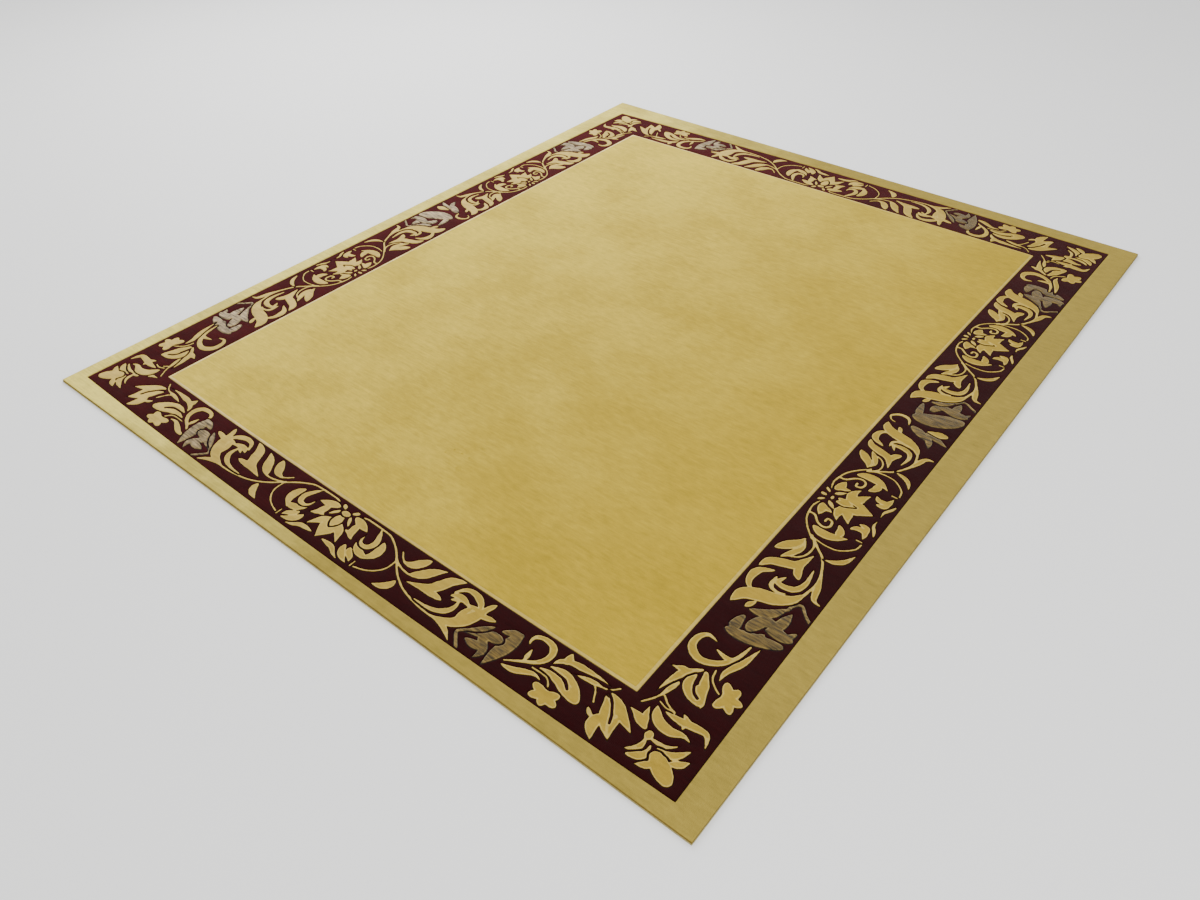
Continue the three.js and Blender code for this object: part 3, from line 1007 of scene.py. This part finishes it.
def closed_solid(name, xy, top, top_z, bottom, bottom_z, materials, indices=None):
    """A solid between a top and a bottom that share their outlines, heights in mm."""
    total = len(xy)
    sides = border_edges(top)
    upper = np.column_stack([xy, np.broadcast_to(top_z, total)])
    lower = np.column_stack([xy, np.full(total, bottom_z)])
    walls = np.concatenate([
        np.column_stack([sides[:, 1], sides[:, 0], sides[:, 0] + total]),
        np.column_stack([sides[:, 1], sides[:, 0] + total, sides[:, 1] + total]),
    ])
    faces = np.concatenate([top, walls, bottom[:, ::-1] + total])
    used, faces = np.unique(faces, return_inverse=True)
    faces = faces.reshape(-1, 3)
    points = np.concatenate([upper, lower])[used] * MM
    smooth = np.arange(len(faces)) < len(top)
    if indices is not None:
        indices = np.concatenate([np.zeros(len(top) + len(walls), int), indices])
    return mesh_object(name, points, faces, smooth, materials, indices)


def cap_of(kind):
    """The cheap flat triangles that lie under all the surface of one kind."""
    sheet = rug_sheet()
    return fill(sheet.xy, border_edges(sheet.triangles[sheet.kinds == kind]))


def pile_piece(context, name, kind, finish):
    """One colour of the pile as a closed solid down to the knotted back."""
    sheet = rug_sheet()
    sizes = context.scene.rug_sizes
    top = sheet.triangles[sheet.kinds == kind]
    bottom_z = sizes.back_height / MM - OVERLAP
    piece = closed_solid(name, sheet.xy, top, sheet.heights(sizes), cap_of(kind), bottom_z, [finish])
    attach(piece, BODY)


def display(*values):
    """A linear colour from the values that a screen shows, 0 to 255, by the usual curve of screens."""
    shares = (v / 255 for v in values)
    return tuple(s / 12.92 if s <= 0.04045 else ((s + 0.055) / 1.055) ** 2.4 for s in shares)


class Nodes:
    """Adds nodes to a tree and joins them."""

    def __init__(self, tree):
        self.tree = tree
        tree.nodes.clear()

    def add(self, kind, values=None, **settings):
        """A new node with its settings, and its inputs joined or set."""
        node = self.tree.nodes.new(kind)
        for key, value in settings.items():
            setattr(node, key, value)
        for socket, value in (values or {}).items():
            self.put(node.inputs[socket], value)
        return node

    def put(self, socket, value):
        """Joins an output to a socket, or sets the socket to a value."""
        if isinstance(value, bpy.types.NodeSocket):
            self.tree.links.new(value, socket)
        else:
            socket.default_value = value

    def math(self, operation, *values):
        """One step of arithmetic."""
        node = self.add("ShaderNodeMath", dict(enumerate(values)), operation=operation)
        return node.outputs[0]

    def swing(self, value, amount):
        """A value from 0 to 1 as one to both sides of 0, made larger by an amount."""
        return self.math("MULTIPLY", self.math("SUBTRACT", value, 0.5), amount)

    def ramp(self, value, start, end, low=0.0, high=1.0):
        """A value that passes smoothly from low to high between start and end."""
        return self.add(
            "ShaderNodeMapRange",
            {"Value": value, "From Min": start, "From Max": end, "To Min": low, "To Max": high},
            interpolation_type="SMOOTHSTEP",
        ).outputs["Result"]

    def mix(self, share, first, second, blend="MIX"):
        """A mixture of two colours."""
        node = self.add("ShaderNodeMix", {"Factor": share}, data_type="RGBA", blend_type=blend)
        self.put(node.inputs[6], first)
        self.put(node.inputs[7], second)
        return node.outputs[2]

    def place(self):
        """A point's place on the rug in metres, and its three parts."""
        place = self.add("ShaderNodeTexCoord").outputs["Object"]
        return place, self.add("ShaderNodeSeparateXYZ", {0: place}).outputs

    def noise(self, place, scale, detail=2.0, roughness=0.5):
        """A noise from 0 to 1."""
        values = {"Vector": place, "Scale": scale, "Detail": detail, "Roughness": roughness}
        return self.add("ShaderNodeTexNoise", values).outputs["Fac"]

    def drawn_out(self, place, across, along, detail=2.0, roughness=0.5):
        """A noise with one scale across the rug and another along it."""
        scaled_place = self.add(
            "ShaderNodeVectorMath", {0: place, 1: (across, along, 1)}, operation="MULTIPLY"
        ).outputs[0]
        return self.noise(scaled_place, 1.0, detail, roughness)

    def surface(self, values):
        """The shader with its inputs joined or set, on the material's output."""
        shader = self.add("ShaderNodeBsdfPrincipled", values)
        self.add("ShaderNodeOutputMaterial", {"Surface": shader.outputs[0]})


def new_material(name):
    """A material without nodes yet, and what adds them."""
    made = bpy.data.materials.new(name)
    made.use_nodes = True
    return made, Nodes(made.node_tree)


def opaque(colour):
    """A colour with its fourth value, as a node takes it."""
    return (*colour[:3], 1)


def node_group(name, inputs, outputs):
    """An empty node group with its named sockets, and its nodes."""
    tree = bpy.data.node_groups.new(name, "ShaderNodeTree")
    for label, kind, default in inputs:
        socket = tree.interface.new_socket(label, in_out="INPUT", socket_type=kind)
        socket.default_value = default
    for label, kind in outputs:
        tree.interface.new_socket(label, in_out="OUTPUT", socket_type=kind)
    nodes = Nodes(tree)
    given = nodes.add("NodeGroupInput")
    result = nodes.add("NodeGroupOutput")
    return nodes, given.outputs, result.inputs


COLOUR, FLOAT = "NodeSocketColor", "NodeSocketFloat"
WHITE = (1, 1, 1, 1)


# Noises of the pile: scales across and along the rug, detail and roughness
STREAKS = (5, 150, 3.0, 0.6)
NAP = (30, 55, 3.0, 0.65)
STRIPES = (30, 170, 2.0, 0.6)
ROW_WANDER = (12, 40)

# Between these values of the clouds the shade comes in, up to its share
SHADE_RANGE = (0.62, 0.34)
SHADE_SHARE = 0.3

# How much of a metre across the rug counts towards its side of painted light and sheen, and how far the
# clouds shift it
PAINTED_LIGHT_ACROSS = -0.55
PAINTED_LIGHT_DRIFT = 0.5

# Heights in mm: the rise of a cut rim's painted highlight over its groove, where that highlight ends, and
# the fuzzy edge of the painted shade in the groove
RIM_RISE = 0.7
RIM_ENDS = (9.65, 9.2)
GROOVE_BLEND = 0.5
FUZZ_HEIGHT = 1.2
FUZZ_SCALE = 380.0

# How much the nap and the rows of knots show, and how far a row wanders
GRAIN_SCALE = 900.0
NAP_TONE = 0.5
ROW_TONE = 0.045
ROW_TURNS = 6.0
GRAIN_RELIEF = 0.5
NAP_RELIEF = 0.9
ROW_RELIEF = 0.16
PILE_ROUGHNESS = (0.8, 0.95)


@lru_cache(maxsize=None)
def knotted_pile_group():
    """Sheared pile: rows of knots, clouds of painted shade, painted shade in the grooves,
    painted highlights on the cut rims, and painted light and sheen towards one side.
    """
    nodes, given, result = node_group(
        "Knotted Pile",
        (
            ("Colour", COLOUR, WHITE), ("Shade", COLOUR, WHITE), ("Pale", COLOUR, WHITE),
            ("Groove", COLOUR, WHITE), ("Rim", COLOUR, WHITE), ("Rim Share", FLOAT, 0.5),
            ("Groove Top", FLOAT, 8.0), ("Cloud Scale", FLOAT, 5.0), ("Streaks", FLOAT, 0.5),
            ("Stripes", FLOAT, 0.1), ("Grain", FLOAT, 0.5), ("Lean", FLOAT, 0.13),
            ("Pale From", FLOAT, -0.6), ("Pale To", FLOAT, 0.75), ("Row Pitch", FLOAT, 2.8),
        ),
        (("Colour", COLOUR), ("Roughness", FLOAT), ("Height", FLOAT)),
    )
    place, axes = nodes.place()
    height = nodes.math("MULTIPLY", axes["Z"], 1 / MM)

    clouds = nodes.noise(place, given["Cloud Scale"], 4.0, 0.62)
    streaked = nodes.swing(nodes.drawn_out(place, *STREAKS), given["Streaks"])
    shade = nodes.ramp(nodes.math("ADD", clouds, streaked), *SHADE_RANGE)
    nap = nodes.drawn_out(place, *NAP)

    # Painted light and sheen: the pile turns paler towards one side of the rug, by its place on the rug
    along = nodes.math("MULTIPLY", axes["Y"], given["Lean"])
    across = nodes.math("MULTIPLY_ADD", axes["X"], PAINTED_LIGHT_ACROSS, along)
    drifted = nodes.math("ADD", across, nodes.swing(clouds, PAINTED_LIGHT_DRIFT))
    painted_lightness = nodes.ramp(drifted, given["Pale From"], given["Pale To"])
    colour = nodes.mix(painted_lightness, given["Colour"], given["Pale"])
    colour = nodes.mix(nodes.math("MULTIPLY", shade, SHADE_SHARE), colour, given["Shade"])

    # Painted highlight: lighter on the rounded slopes of the pile a little above each groove
    top = given["Groove Top"]
    above = nodes.ramp(height, top, nodes.math("ADD", top, RIM_RISE))
    below = nodes.ramp(height, *RIM_ENDS)
    rim = nodes.math("MULTIPLY", nodes.math("MULTIPLY", above, below), given["Rim Share"])
    colour = nodes.mix(rim, colour, given["Rim"])
    # Painted shade: the groove colour where the pile lies low, in the carved grooves and at the rug's
    # edge
    fuzzy = nodes.math("ADD", height, nodes.swing(nodes.noise(place, FUZZ_SCALE, 2.0, 0.6), FUZZ_HEIGHT))
    groove_shade_ends = [nodes.math(step, top, GROOVE_BLEND) for step in ("ADD", "SUBTRACT")]
    colour = nodes.mix(nodes.ramp(fuzzy, *groove_shade_ends), colour, given["Groove"])

    grain = nodes.noise(place, GRAIN_SCALE, 2.0, 0.7)
    row = nodes.math("DIVIDE", nodes.math("MULTIPLY", axes["Y"], 2 * math.pi / MM), given["Row Pitch"])
    wander = nodes.math("MULTIPLY", nodes.drawn_out(place, *ROW_WANDER), ROW_TURNS)
    rows = nodes.math("SINE", nodes.math("ADD", row, wander))
    tone = nodes.math("ADD", nodes.swing(grain, given["Grain"]), nodes.swing(nap, NAP_TONE))
    tone = nodes.math("ADD", tone, nodes.math("MULTIPLY", rows, ROW_TONE))
    tone = nodes.math("ADD", tone, nodes.swing(nodes.drawn_out(place, *STRIPES), given["Stripes"]))
    bright = nodes.math("ADD", 1.0, tone)
    tint = nodes.add("ShaderNodeCombineColor", {0: bright, 1: bright, 2: bright}).outputs[0]
    nodes.put(result["Colour"], nodes.mix(1.0, colour, tint, "MULTIPLY"))
    nodes.put(result["Roughness"], nodes.ramp(nap, 0.2, 0.8, *PILE_ROUGHNESS))
    relief = nodes.math(
        "ADD", nodes.math("MULTIPLY", grain, GRAIN_RELIEF), nodes.math("MULTIPLY", nap, NAP_RELIEF)
    )
    nodes.put(result["Height"], nodes.math("ADD", relief, nodes.math("MULTIPLY", rows, ROW_RELIEF)))
    return nodes.tree


# Where the weft shows between the knots, and through their clouds of wear
WEFT_GAPS = (0.3, 0.05)
WEFT_CLOUDS = (0.35, 0.7, 0.0, 0.22)
KNOT_ROUGHNESS = (0.95, 0.82)


@lru_cache(maxsize=None)
def knot_grid_group():
    """The flat back of a knotted rug: two bumps to a knot, in rows, with the weft between them."""
    nodes, given, result = node_group(
        "Knot Grid",
        (
            ("Colour", COLOUR, WHITE), ("Weft", COLOUR, WHITE),
            ("Knot Width", FLOAT, 2.4), ("Row Pitch", FLOAT, 2.8),
        ),
        (("Colour", COLOUR), ("Roughness", FLOAT), ("Height", FLOAT)),
    )
    place, axes = nodes.place()
    bumps = []
    for axis, pitch in (("X", given["Knot Width"]), ("Y", given["Row Pitch"])):
        turns = nodes.math("DIVIDE", nodes.math("MULTIPLY", axes[axis], math.pi / MM), pitch)
        bumps.append(nodes.math("ABSOLUTE", nodes.math("SINE", turns)))
    knot = nodes.math("MULTIPLY", *bumps)
    clouds = nodes.noise(place, 6.0, 4.0, 0.6)
    colour = nodes.mix(nodes.ramp(knot, *WEFT_GAPS), given["Colour"], given["Weft"])
    colour = nodes.mix(nodes.ramp(clouds, *WEFT_CLOUDS), colour, given["Weft"])
    nodes.put(result["Colour"], colour)
    nodes.put(result["Roughness"], nodes.ramp(knot, 0.0, 1.0, *KNOT_ROUGHNESS))
    nodes.put(result["Height"], knot)
    return nodes.tree


def finish_of(name, group, values, bump_height, surface=None):
    """A material whose colour, roughness and relief come from one of the node groups."""
    made, nodes = new_material(name)
    effect = nodes.add("ShaderNodeGroup", node_tree=group)
    for socket, value in values.items():
        effect.inputs[socket].default_value = value if isinstance(value, (int, float)) else opaque(value)
    bump = nodes.add("ShaderNodeBump", {"Height": effect.outputs["Height"], "Distance": bump_height})
    nodes.surface({
        "Base Color": effect.outputs["Colour"],
        "Roughness": effect.outputs["Roughness"],
        "Normal": bump.outputs["Normal"],
        **(surface or {}),
    })
    return made


# How each yarn's pile looks. Its tints are factors on its colour, one for all or one for each of
# red, green and blue: the first is painted shade in clouds, the second painted light and sheen
# towards one side of the rug, the third painted shade where the pile lies low in the grooves and at
# the edge, the fourth a painted highlight on the cut rims. The rest are inputs of the pile's node
# group; the lean and the last two place the painted light.
TINTS = ("shade", "pale", "groove", "rim")
Yarn = namedtuple(
    "Yarn",
    TINTS + ("rim_share", "groove_top", "cloud_scale", "streaks", "stripes", "grain")
    + ("lean", "pale_from", "pale_to"),
)
GOLD = Yarn(
    shade=0.80, pale=(1.66, 1.85, 3.6), groove=(0.10, 0.05, 0.05), rim=(1.35, 1.45, 2.6),
    rim_share=0.0, groove_top=8.0, cloud_scale=3.5, streaks=0.5, stripes=0.35, grain=0.5,
    lean=0.10, pale_from=-0.6, pale_to=0.75,
)
YARNS = {
    "gold": GOLD,
    "band": GOLD._replace(
        pale=(2.55, 2.88, 3.5), groove=(0.55, 0.50, 0.45), rim=(1.2, 1.2, 1.3), rim_share=0.3,
        cloud_scale=4.0, lean=-0.04, pale_from=-0.1, pale_to=0.65,
    ),
    "scroll": GOLD._replace(
        shade=0.76, pale=(1.85, 2.0, 4.7), rim=(1.6, 1.75, 3.6), rim_share=0.8, cloud_scale=9.0,
        stripes=0.3,
    ),
    "maroon": GOLD._replace(
        shade=0.66, pale=(3.1, 3.0, 2.9), groove=(0.50, 0.5, 0.5), rim=(1.2, 1.2, 1.2),
        groove_top=7.3, cloud_scale=7.0, stripes=0.5, grain=0.9, lean=0.25,
    ),
    "cream": GOLD._replace(
        shade=0.90, pale=(1.79, 1.95, 4.0), groove=(0.30, 0.24, 0.22), rim=(1.1, 1.12, 1.2),
        rim_share=0.3, cloud_scale=8.0, streaks=0.4, stripes=0.3, grain=0.4, pale_from=-0.3,
        pale_to=0.6,
    ),
    # The silk's strong streaks and stripes are its own streaky pile and partly painted sheen: silvery
    # highlights
    "silk": GOLD._replace(
        shade=0.42, pale=(3.7, 4.5, 14.9), groove=(0.20, 0.14, 0.13), rim=(1.9, 2.1, 3.2),
        rim_share=0.6, cloud_scale=16.0, streaks=3.0, stripes=4.0, lean=0.04, pale_from=-0.1,
        pale_to=0.6,
    ),
}

# Depth of the pile's and the knots' bumps in metres, and what lies on the yarns' own surface
PILE_BUMP = 0.0012
KNOT_BUMP = 0.0006
WOOL = {"Sheen Weight": 0.03, "Sheen Roughness": 0.5, "Specular IOR Level": 0.03}
SILK = {"Sheen Weight": 0.2, "Sheen Roughness": 0.3, "Specular IOR Level": 0.4}
BRIGHTEST = 0.95


def scaled(colour, factors):
    """A colour made lighter or darker, by one factor or by three."""
    factors = (factors,) * 3 if isinstance(factors, float) else factors
    return tuple(min(c * f, BRIGHTEST) for c, f in zip(colour, factors))


def pile_finish(context, name, yarn, colour, surface):
    """The material of a pile of one yarn and colour."""
    values = {"Colour": colour, "Row Pitch": context.scene.rug_sizes.row_pitch / MM}
    for field, value in YARNS[yarn]._asdict().items():
        socket = field.replace("_", " ").title()
        values[socket] = scaled(colour, value) if field in TINTS else value
    return finish_of(name, knotted_pile_group(), values, PILE_BUMP, surface)


def length_property(name, description, millimetres):
    """A length that a user can change."""
    return bpy.props.FloatProperty(
        name=name, description=description, default=millimetres * MM, unit="LENGTH", precision=4,
    )


def colour_property(name, description, red, green, blue):
    """A colour that a user can change, given as a screen shows it."""
    return bpy.props.FloatVectorProperty(
        name=name, description=description, size=3, subtype="COLOR", min=0, max=1,
        default=display(red, green, blue),
    )


class RugSizes(bpy.types.PropertyGroup):
    """Sizes of the rug's relief and edges."""

    pile_height: length_property("Pile Height", "Height of the scrolls and the field over the floor", 9.9)
    ground_height: length_property("Ground Height", "Height of the maroon ground over the floor", 8.5)
    groove_height: length_property("Groove Height", "Height of the bottom of the carved lines", 6.4)
    guard_groove_height: length_property(
        "Guard Groove Height", "Height of the fine line beside the guard stripe", 9.1
    )
    rim_height: length_property("Rim Height", "Height of the pile at the rug's very edge", 7.6)
    back_height: length_property("Back Height", "Thickness of the knotted foundation", 2.2)
    unevenness: length_property("Unevenness", "Depth of the slow waves in the pile", 0.25)
    selvedge_width: length_property("Selvedge Width", "Width of the overcast edge", 3.2)
    row_pitch: length_property("Row Pitch", "Distance between two rows of knots", 2.8)


class RugColours(bpy.types.PropertyGroup):
    """Colours of the yarns and of the floor."""

    gold: colour_property("Gold Wool", "The field", 170, 143, 40)
    band: colour_property("Band Wool", "The outer band", 151, 131, 58)
    scroll: colour_property("Scroll Wool", "The scrolls, leaves and blossoms", 160, 133, 48)
    maroon: colour_property("Maroon Wool", "The ground of the border", 38, 6, 7)
    cream: colour_property("Cream Wool", "The guard stripe round the field", 186, 161, 79)
    silk: colour_property("Olive Silk", "The lotuses", 91, 72, 27)
    selvedge: colour_property("Selvedge Yarn", "The overcast edge", 176, 162, 104)
    floor: colour_property("Floor", "The studio floor", 246, 246, 245)


class RUG_OT_plain_pile(bpy.types.Operator):
    """Build the outer band, the guard stripe and the field"""

    bl_idname = "rug.plain_pile"
    bl_label = "Band, Guard Stripe and Field"

    def execute(self, context):
        colours = context.scene.rug_colours
        gold = pile_finish(context, "gold_wool", "gold", colours.gold, WOOL)
        band = pile_finish(context, "band_wool", "band", colours.band, WOOL)
        cream = pile_finish(context, "cream_wool", "cream", colours.cream, WOOL)
        pile_piece(context, "outer_band", BAND, band)
        pile_piece(context, "guard_stripe", GUARD, cream)
        pile_piece(context, "field", FIELD, gold)
        return {"FINISHED"}


class RUG_OT_border(bpy.types.Operator):
    """Build the maroon ground with its scrolls and lotuses"""

    bl_idname = "rug.border"
    bl_label = "Scroll Border"

    def execute(self, context):
        colours = context.scene.rug_colours
        maroon = pile_finish(context, "maroon_wool", "maroon", colours.maroon, WOOL)
        scroll = pile_finish(context, "scroll_wool", "scroll", colours.scroll, WOOL)
        silk = pile_finish(context, "olive_silk", "silk", colours.silk, SILK)
        pile_piece(context, "maroon_ground", GROUND, maroon)
        pile_piece(context, "gold_scrolls", SCROLLS, scroll)
        pile_piece(context, "silk_lotuses", LOTUSES, silk)
        return {"FINISHED"}


# The overcast edge: sides of its section, length of a step and of a wrap in mm, and its look, with
# painted shade between the wraps, painted light on them, and wear
SELVEDGE_SIDES = 9
SELVEDGE_STEP = 7.0
WRAP_PITCH = 2.6
WRAP_SHADES = (0.75, 1.2)
WORN_SCALE = 60.0
WORN_SHARE = 1.5


class RUG_OT_selvedge(bpy.types.Operator):
    """Build the yarn that is sewn over the rug's edge"""

    bl_idname = "rug.selvedge"
    bl_label = "Overcast Edge"

    def execute(self, context):
        radius = context.scene.rug_sizes.selvedge_width / MM / 2
        path = ring("edge", 0, SELVEDGE_STEP)
        ahead = np.roll(path, -1, axis=0) - np.roll(path, 1, axis=0)
        ahead /= np.hypot(*ahead.T)[:, None]
        turns = np.arange(SELVEDGE_SIDES) * 2 * math.pi / SELVEDGE_SIDES
        outward = np.column_stack([ahead[:, 1], -ahead[:, 0]])
        aside = outward[:, None, :] * (radius * np.cos(turns))[None, :, None]
        xy = path[:, None, :] + aside
        z = np.broadcast_to(radius + radius * np.sin(turns), xy.shape[:2])
        points = np.concatenate([xy, z[:, :, None]], axis=2).reshape(-1, 3) * MM
        count = len(path)
        i, k = np.meshgrid(np.arange(count), np.arange(SELVEDGE_SIDES), indexing="ij")
        here, beside = i * SELVEDGE_SIDES + k, i * SELVEDGE_SIDES + (k + 1) % SELVEDGE_SIDES
        later = (i + 1) % count * SELVEDGE_SIDES
        ahead_here, ahead_beside = later + k, later + (k + 1) % SELVEDGE_SIDES
        faces = np.concatenate([
            np.stack([here, ahead_here, ahead_beside], axis=2).reshape(-1, 3),
            np.stack([here, ahead_beside, beside], axis=2).reshape(-1, 3),
        ])
        yarn = selvedge_finish(context)
        piece = mesh_object("selvedge", points, faces, np.ones(len(faces), bool), [yarn])
        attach(piece, BODY)
        return {"FINISHED"}


def selvedge_finish(context):
    """Yarn wrapped round the edge, one wrap beside the next."""
    made, nodes = new_material("selvedge_yarn")
    place, axes = nodes.place()
    along = nodes.math("ADD", axes["X"], axes["Y"])
    wraps = nodes.math("SINE", nodes.math("MULTIPLY", along, 2 * math.pi / (WRAP_PITCH * MM)))
    worn = nodes.noise(place, WORN_SCALE, 3.0)
    # Painted shade between the wraps and painted light on them, mixed with wear at random
    dark, light = (opaque(scaled(context.scene.rug_colours.selvedge, f)) for f in WRAP_SHADES)
    tone = nodes.ramp(nodes.math("ADD", wraps, nodes.math("MULTIPLY", worn, WORN_SHARE)), -0.6, 1.8)
    bump = nodes.add("ShaderNodeBump", {"Height": wraps, "Distance": KNOT_BUMP})
    nodes.surface({
        "Base Color": nodes.mix(tone, dark, light), "Normal": bump.outputs["Normal"],
        "Roughness": nodes.ramp(worn, 0.3, 0.7, 0.8, 0.95),
    })
    return made


# The rug lies flat, nothing is folded under; the weft is the cream wool times this factor
WEFT_SHADE = 0.8


class RUG_OT_back(bpy.types.Operator):
    """Build the knotted foundation, whose underside shows the pattern"""

    bl_idname = "rug.back"
    bl_label = "Knotted Back"

    def execute(self, context):
        sheet = rug_sheet()
        colours = context.scene.rug_colours
        yarns = {
            BAND: colours.band, GROUND: colours.maroon, SCROLLS: colours.scroll,
            LOTUSES: colours.silk, GUARD: colours.cream, FIELD: colours.gold,
        }
        weft = scaled(colours.cream, WEFT_SHADE)
        pitch = context.scene.rug_sizes.row_pitch / MM
        finishes, caps = [], []
        for kind, colour in yarns.items():
            values = {"Colour": colour, "Weft": weft, "Row Pitch": pitch}
            finishes.append(finish_of("knots_%d" % kind, knot_grid_group(), values, KNOT_BUMP))
            caps.append(cap_of(kind))
        caps_kind = np.repeat(np.arange(len(caps)), [len(cap) for cap in caps])
        cap = np.concatenate(caps)
        back = closed_solid(
            "knotted_back", sheet.xy, cap, context.scene.rug_sizes.back_height / MM, cap, 0,
            finishes, caps_kind,
        )
        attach(back, BODY)
        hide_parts(RUG_NODE)
        return {"FINISHED"}


# The studio in metres and watts
FLOOR_HALF = 9
FLOOR_SHADE = 0.98
SKY_STRENGTH = 1.15
Light = namedtuple("Light", "name place size power")
LIGHTS = (
    Light("key_light", (-2.6, 1.6, 2.8), 2.6, 150),
    Light("fill_light", (2.6, -2.2, 2.6), 2.6, 60),
)

# The photo's eye point in metres, its angles in degrees, and its lens in mm
EYE = (1.2476, -2.2872, 1.5602)
EYE_TURNS = ((43.07, "Z"), (50.13, "X"), (-0.6, "Z"))
LENS = 28.84
SENSOR_WIDTH = 36
LENS_SHIFT = 0.14


class RUG_OT_stage(bpy.types.Operator):
    """Set the floor, the lights and the camera"""

    bl_idname = "rug.stage"
    bl_label = "Stage"

    def execute(self, context):
        self.floor(context.scene)
        for light in LIGHTS:
            self.light(context.scene, light)
        self.sky(context.scene)
        self.camera(context.scene)
        return {"FINISHED"}

    def floor(self, scene):
        """The studio floor, barely clouded."""
        finish, nodes = new_material("studio_floor")
        place, _ = nodes.place()
        colour = scene.rug_colours.floor
        tone = nodes.mix(nodes.noise(place, 2.0), opaque(scaled(colour, FLOOR_SHADE)), opaque(colour))
        nodes.surface({"Base Color": tone, "Roughness": 0.6})
        corners = np.array([(-1, -1, 0), (1, -1, 0), (1, 1, 0), (-1, 1, 0)]) * float(FLOOR_HALF)
        faces = np.array([(0, 1, 2), (0, 2, 3)])
        floor = mesh_object("studio_floor", corners, faces, np.zeros(2, bool), [finish])

    def light(self, scene, light):
        """One soft square light that faces the rug."""
        lamp = bpy.data.lights.new(light.name, "AREA")
        lamp.size = light.size
        lamp.energy = light.power
        made = bpy.data.objects.new(light.name, lamp)
        made.location = light.place
        made.rotation_euler = (-Vector(light.place)).to_track_quat("-Z", "Y").to_euler()
        scene.collection.objects.link(made)

    def sky(self, scene):
        """Even light from all round."""
        scene.world = bpy.data.worlds.new("studio")
        scene.world.use_nodes = True
        sky = scene.world.node_tree.nodes["Background"]
        sky.inputs["Color"].default_value = WHITE
        sky.inputs["Strength"].default_value = SKY_STRENGTH

    def camera(self, scene):
        """The camera at the photo's eye point."""
        lens = bpy.data.cameras.new("camera")
        lens.lens = LENS
        lens.sensor_width = SENSOR_WIDTH
        lens.shift_x = LENS_SHIFT
        made = bpy.data.objects.new("camera", lens)
        turned = Matrix.Translation(EYE)
        for degrees, axis in EYE_TURNS:
            turned = turned @ Matrix.Rotation(math.radians(degrees), 4, axis)
        made.matrix_world = turned
        scene.collection.objects.link(made)
        scene.camera = made


STEPS = (RUG_OT_plain_pile, RUG_OT_border, RUG_OT_selvedge, RUG_OT_back, RUG_OT_stage)


class RUG_PT_panel(bpy.types.Panel):
    """The rug's sizes, colours and steps."""

    bl_label = "Rug"
    bl_space_type = "VIEW_3D"
    bl_region_type = "UI"
    bl_category = "Rug"

    def draw(self, context):
        for step in STEPS:
            self.layout.operator(step.bl_idname)
        for group in (context.scene.rug_sizes, context.scene.rug_colours):
            for name in group.__annotations__:
                self.layout.prop(group, name)


CLASSES = (RugSizes, RugColours, *STEPS, RUG_PT_panel)


def register():
    """Adds the properties, the operators and the panel."""
    for item in CLASSES:
        bpy.utils.register_class(item)
    bpy.types.Scene.rug_sizes = bpy.props.PointerProperty(type=RugSizes)
    bpy.types.Scene.rug_colours = bpy.props.PointerProperty(type=RugColours)


def unregister():
    """Takes the properties, the operators and the panel away."""
    del bpy.types.Scene.rug_sizes
    del bpy.types.Scene.rug_colours
    for item in reversed(CLASSES):
        bpy.utils.unregister_class(item)


def main():
    """Builds the rug and its stage."""
    register()
    for step in STEPS:
        category, name = step.bl_idname.split(".")
        getattr(getattr(bpy.ops, category), name)()


if __name__ == "__main__":
    main()
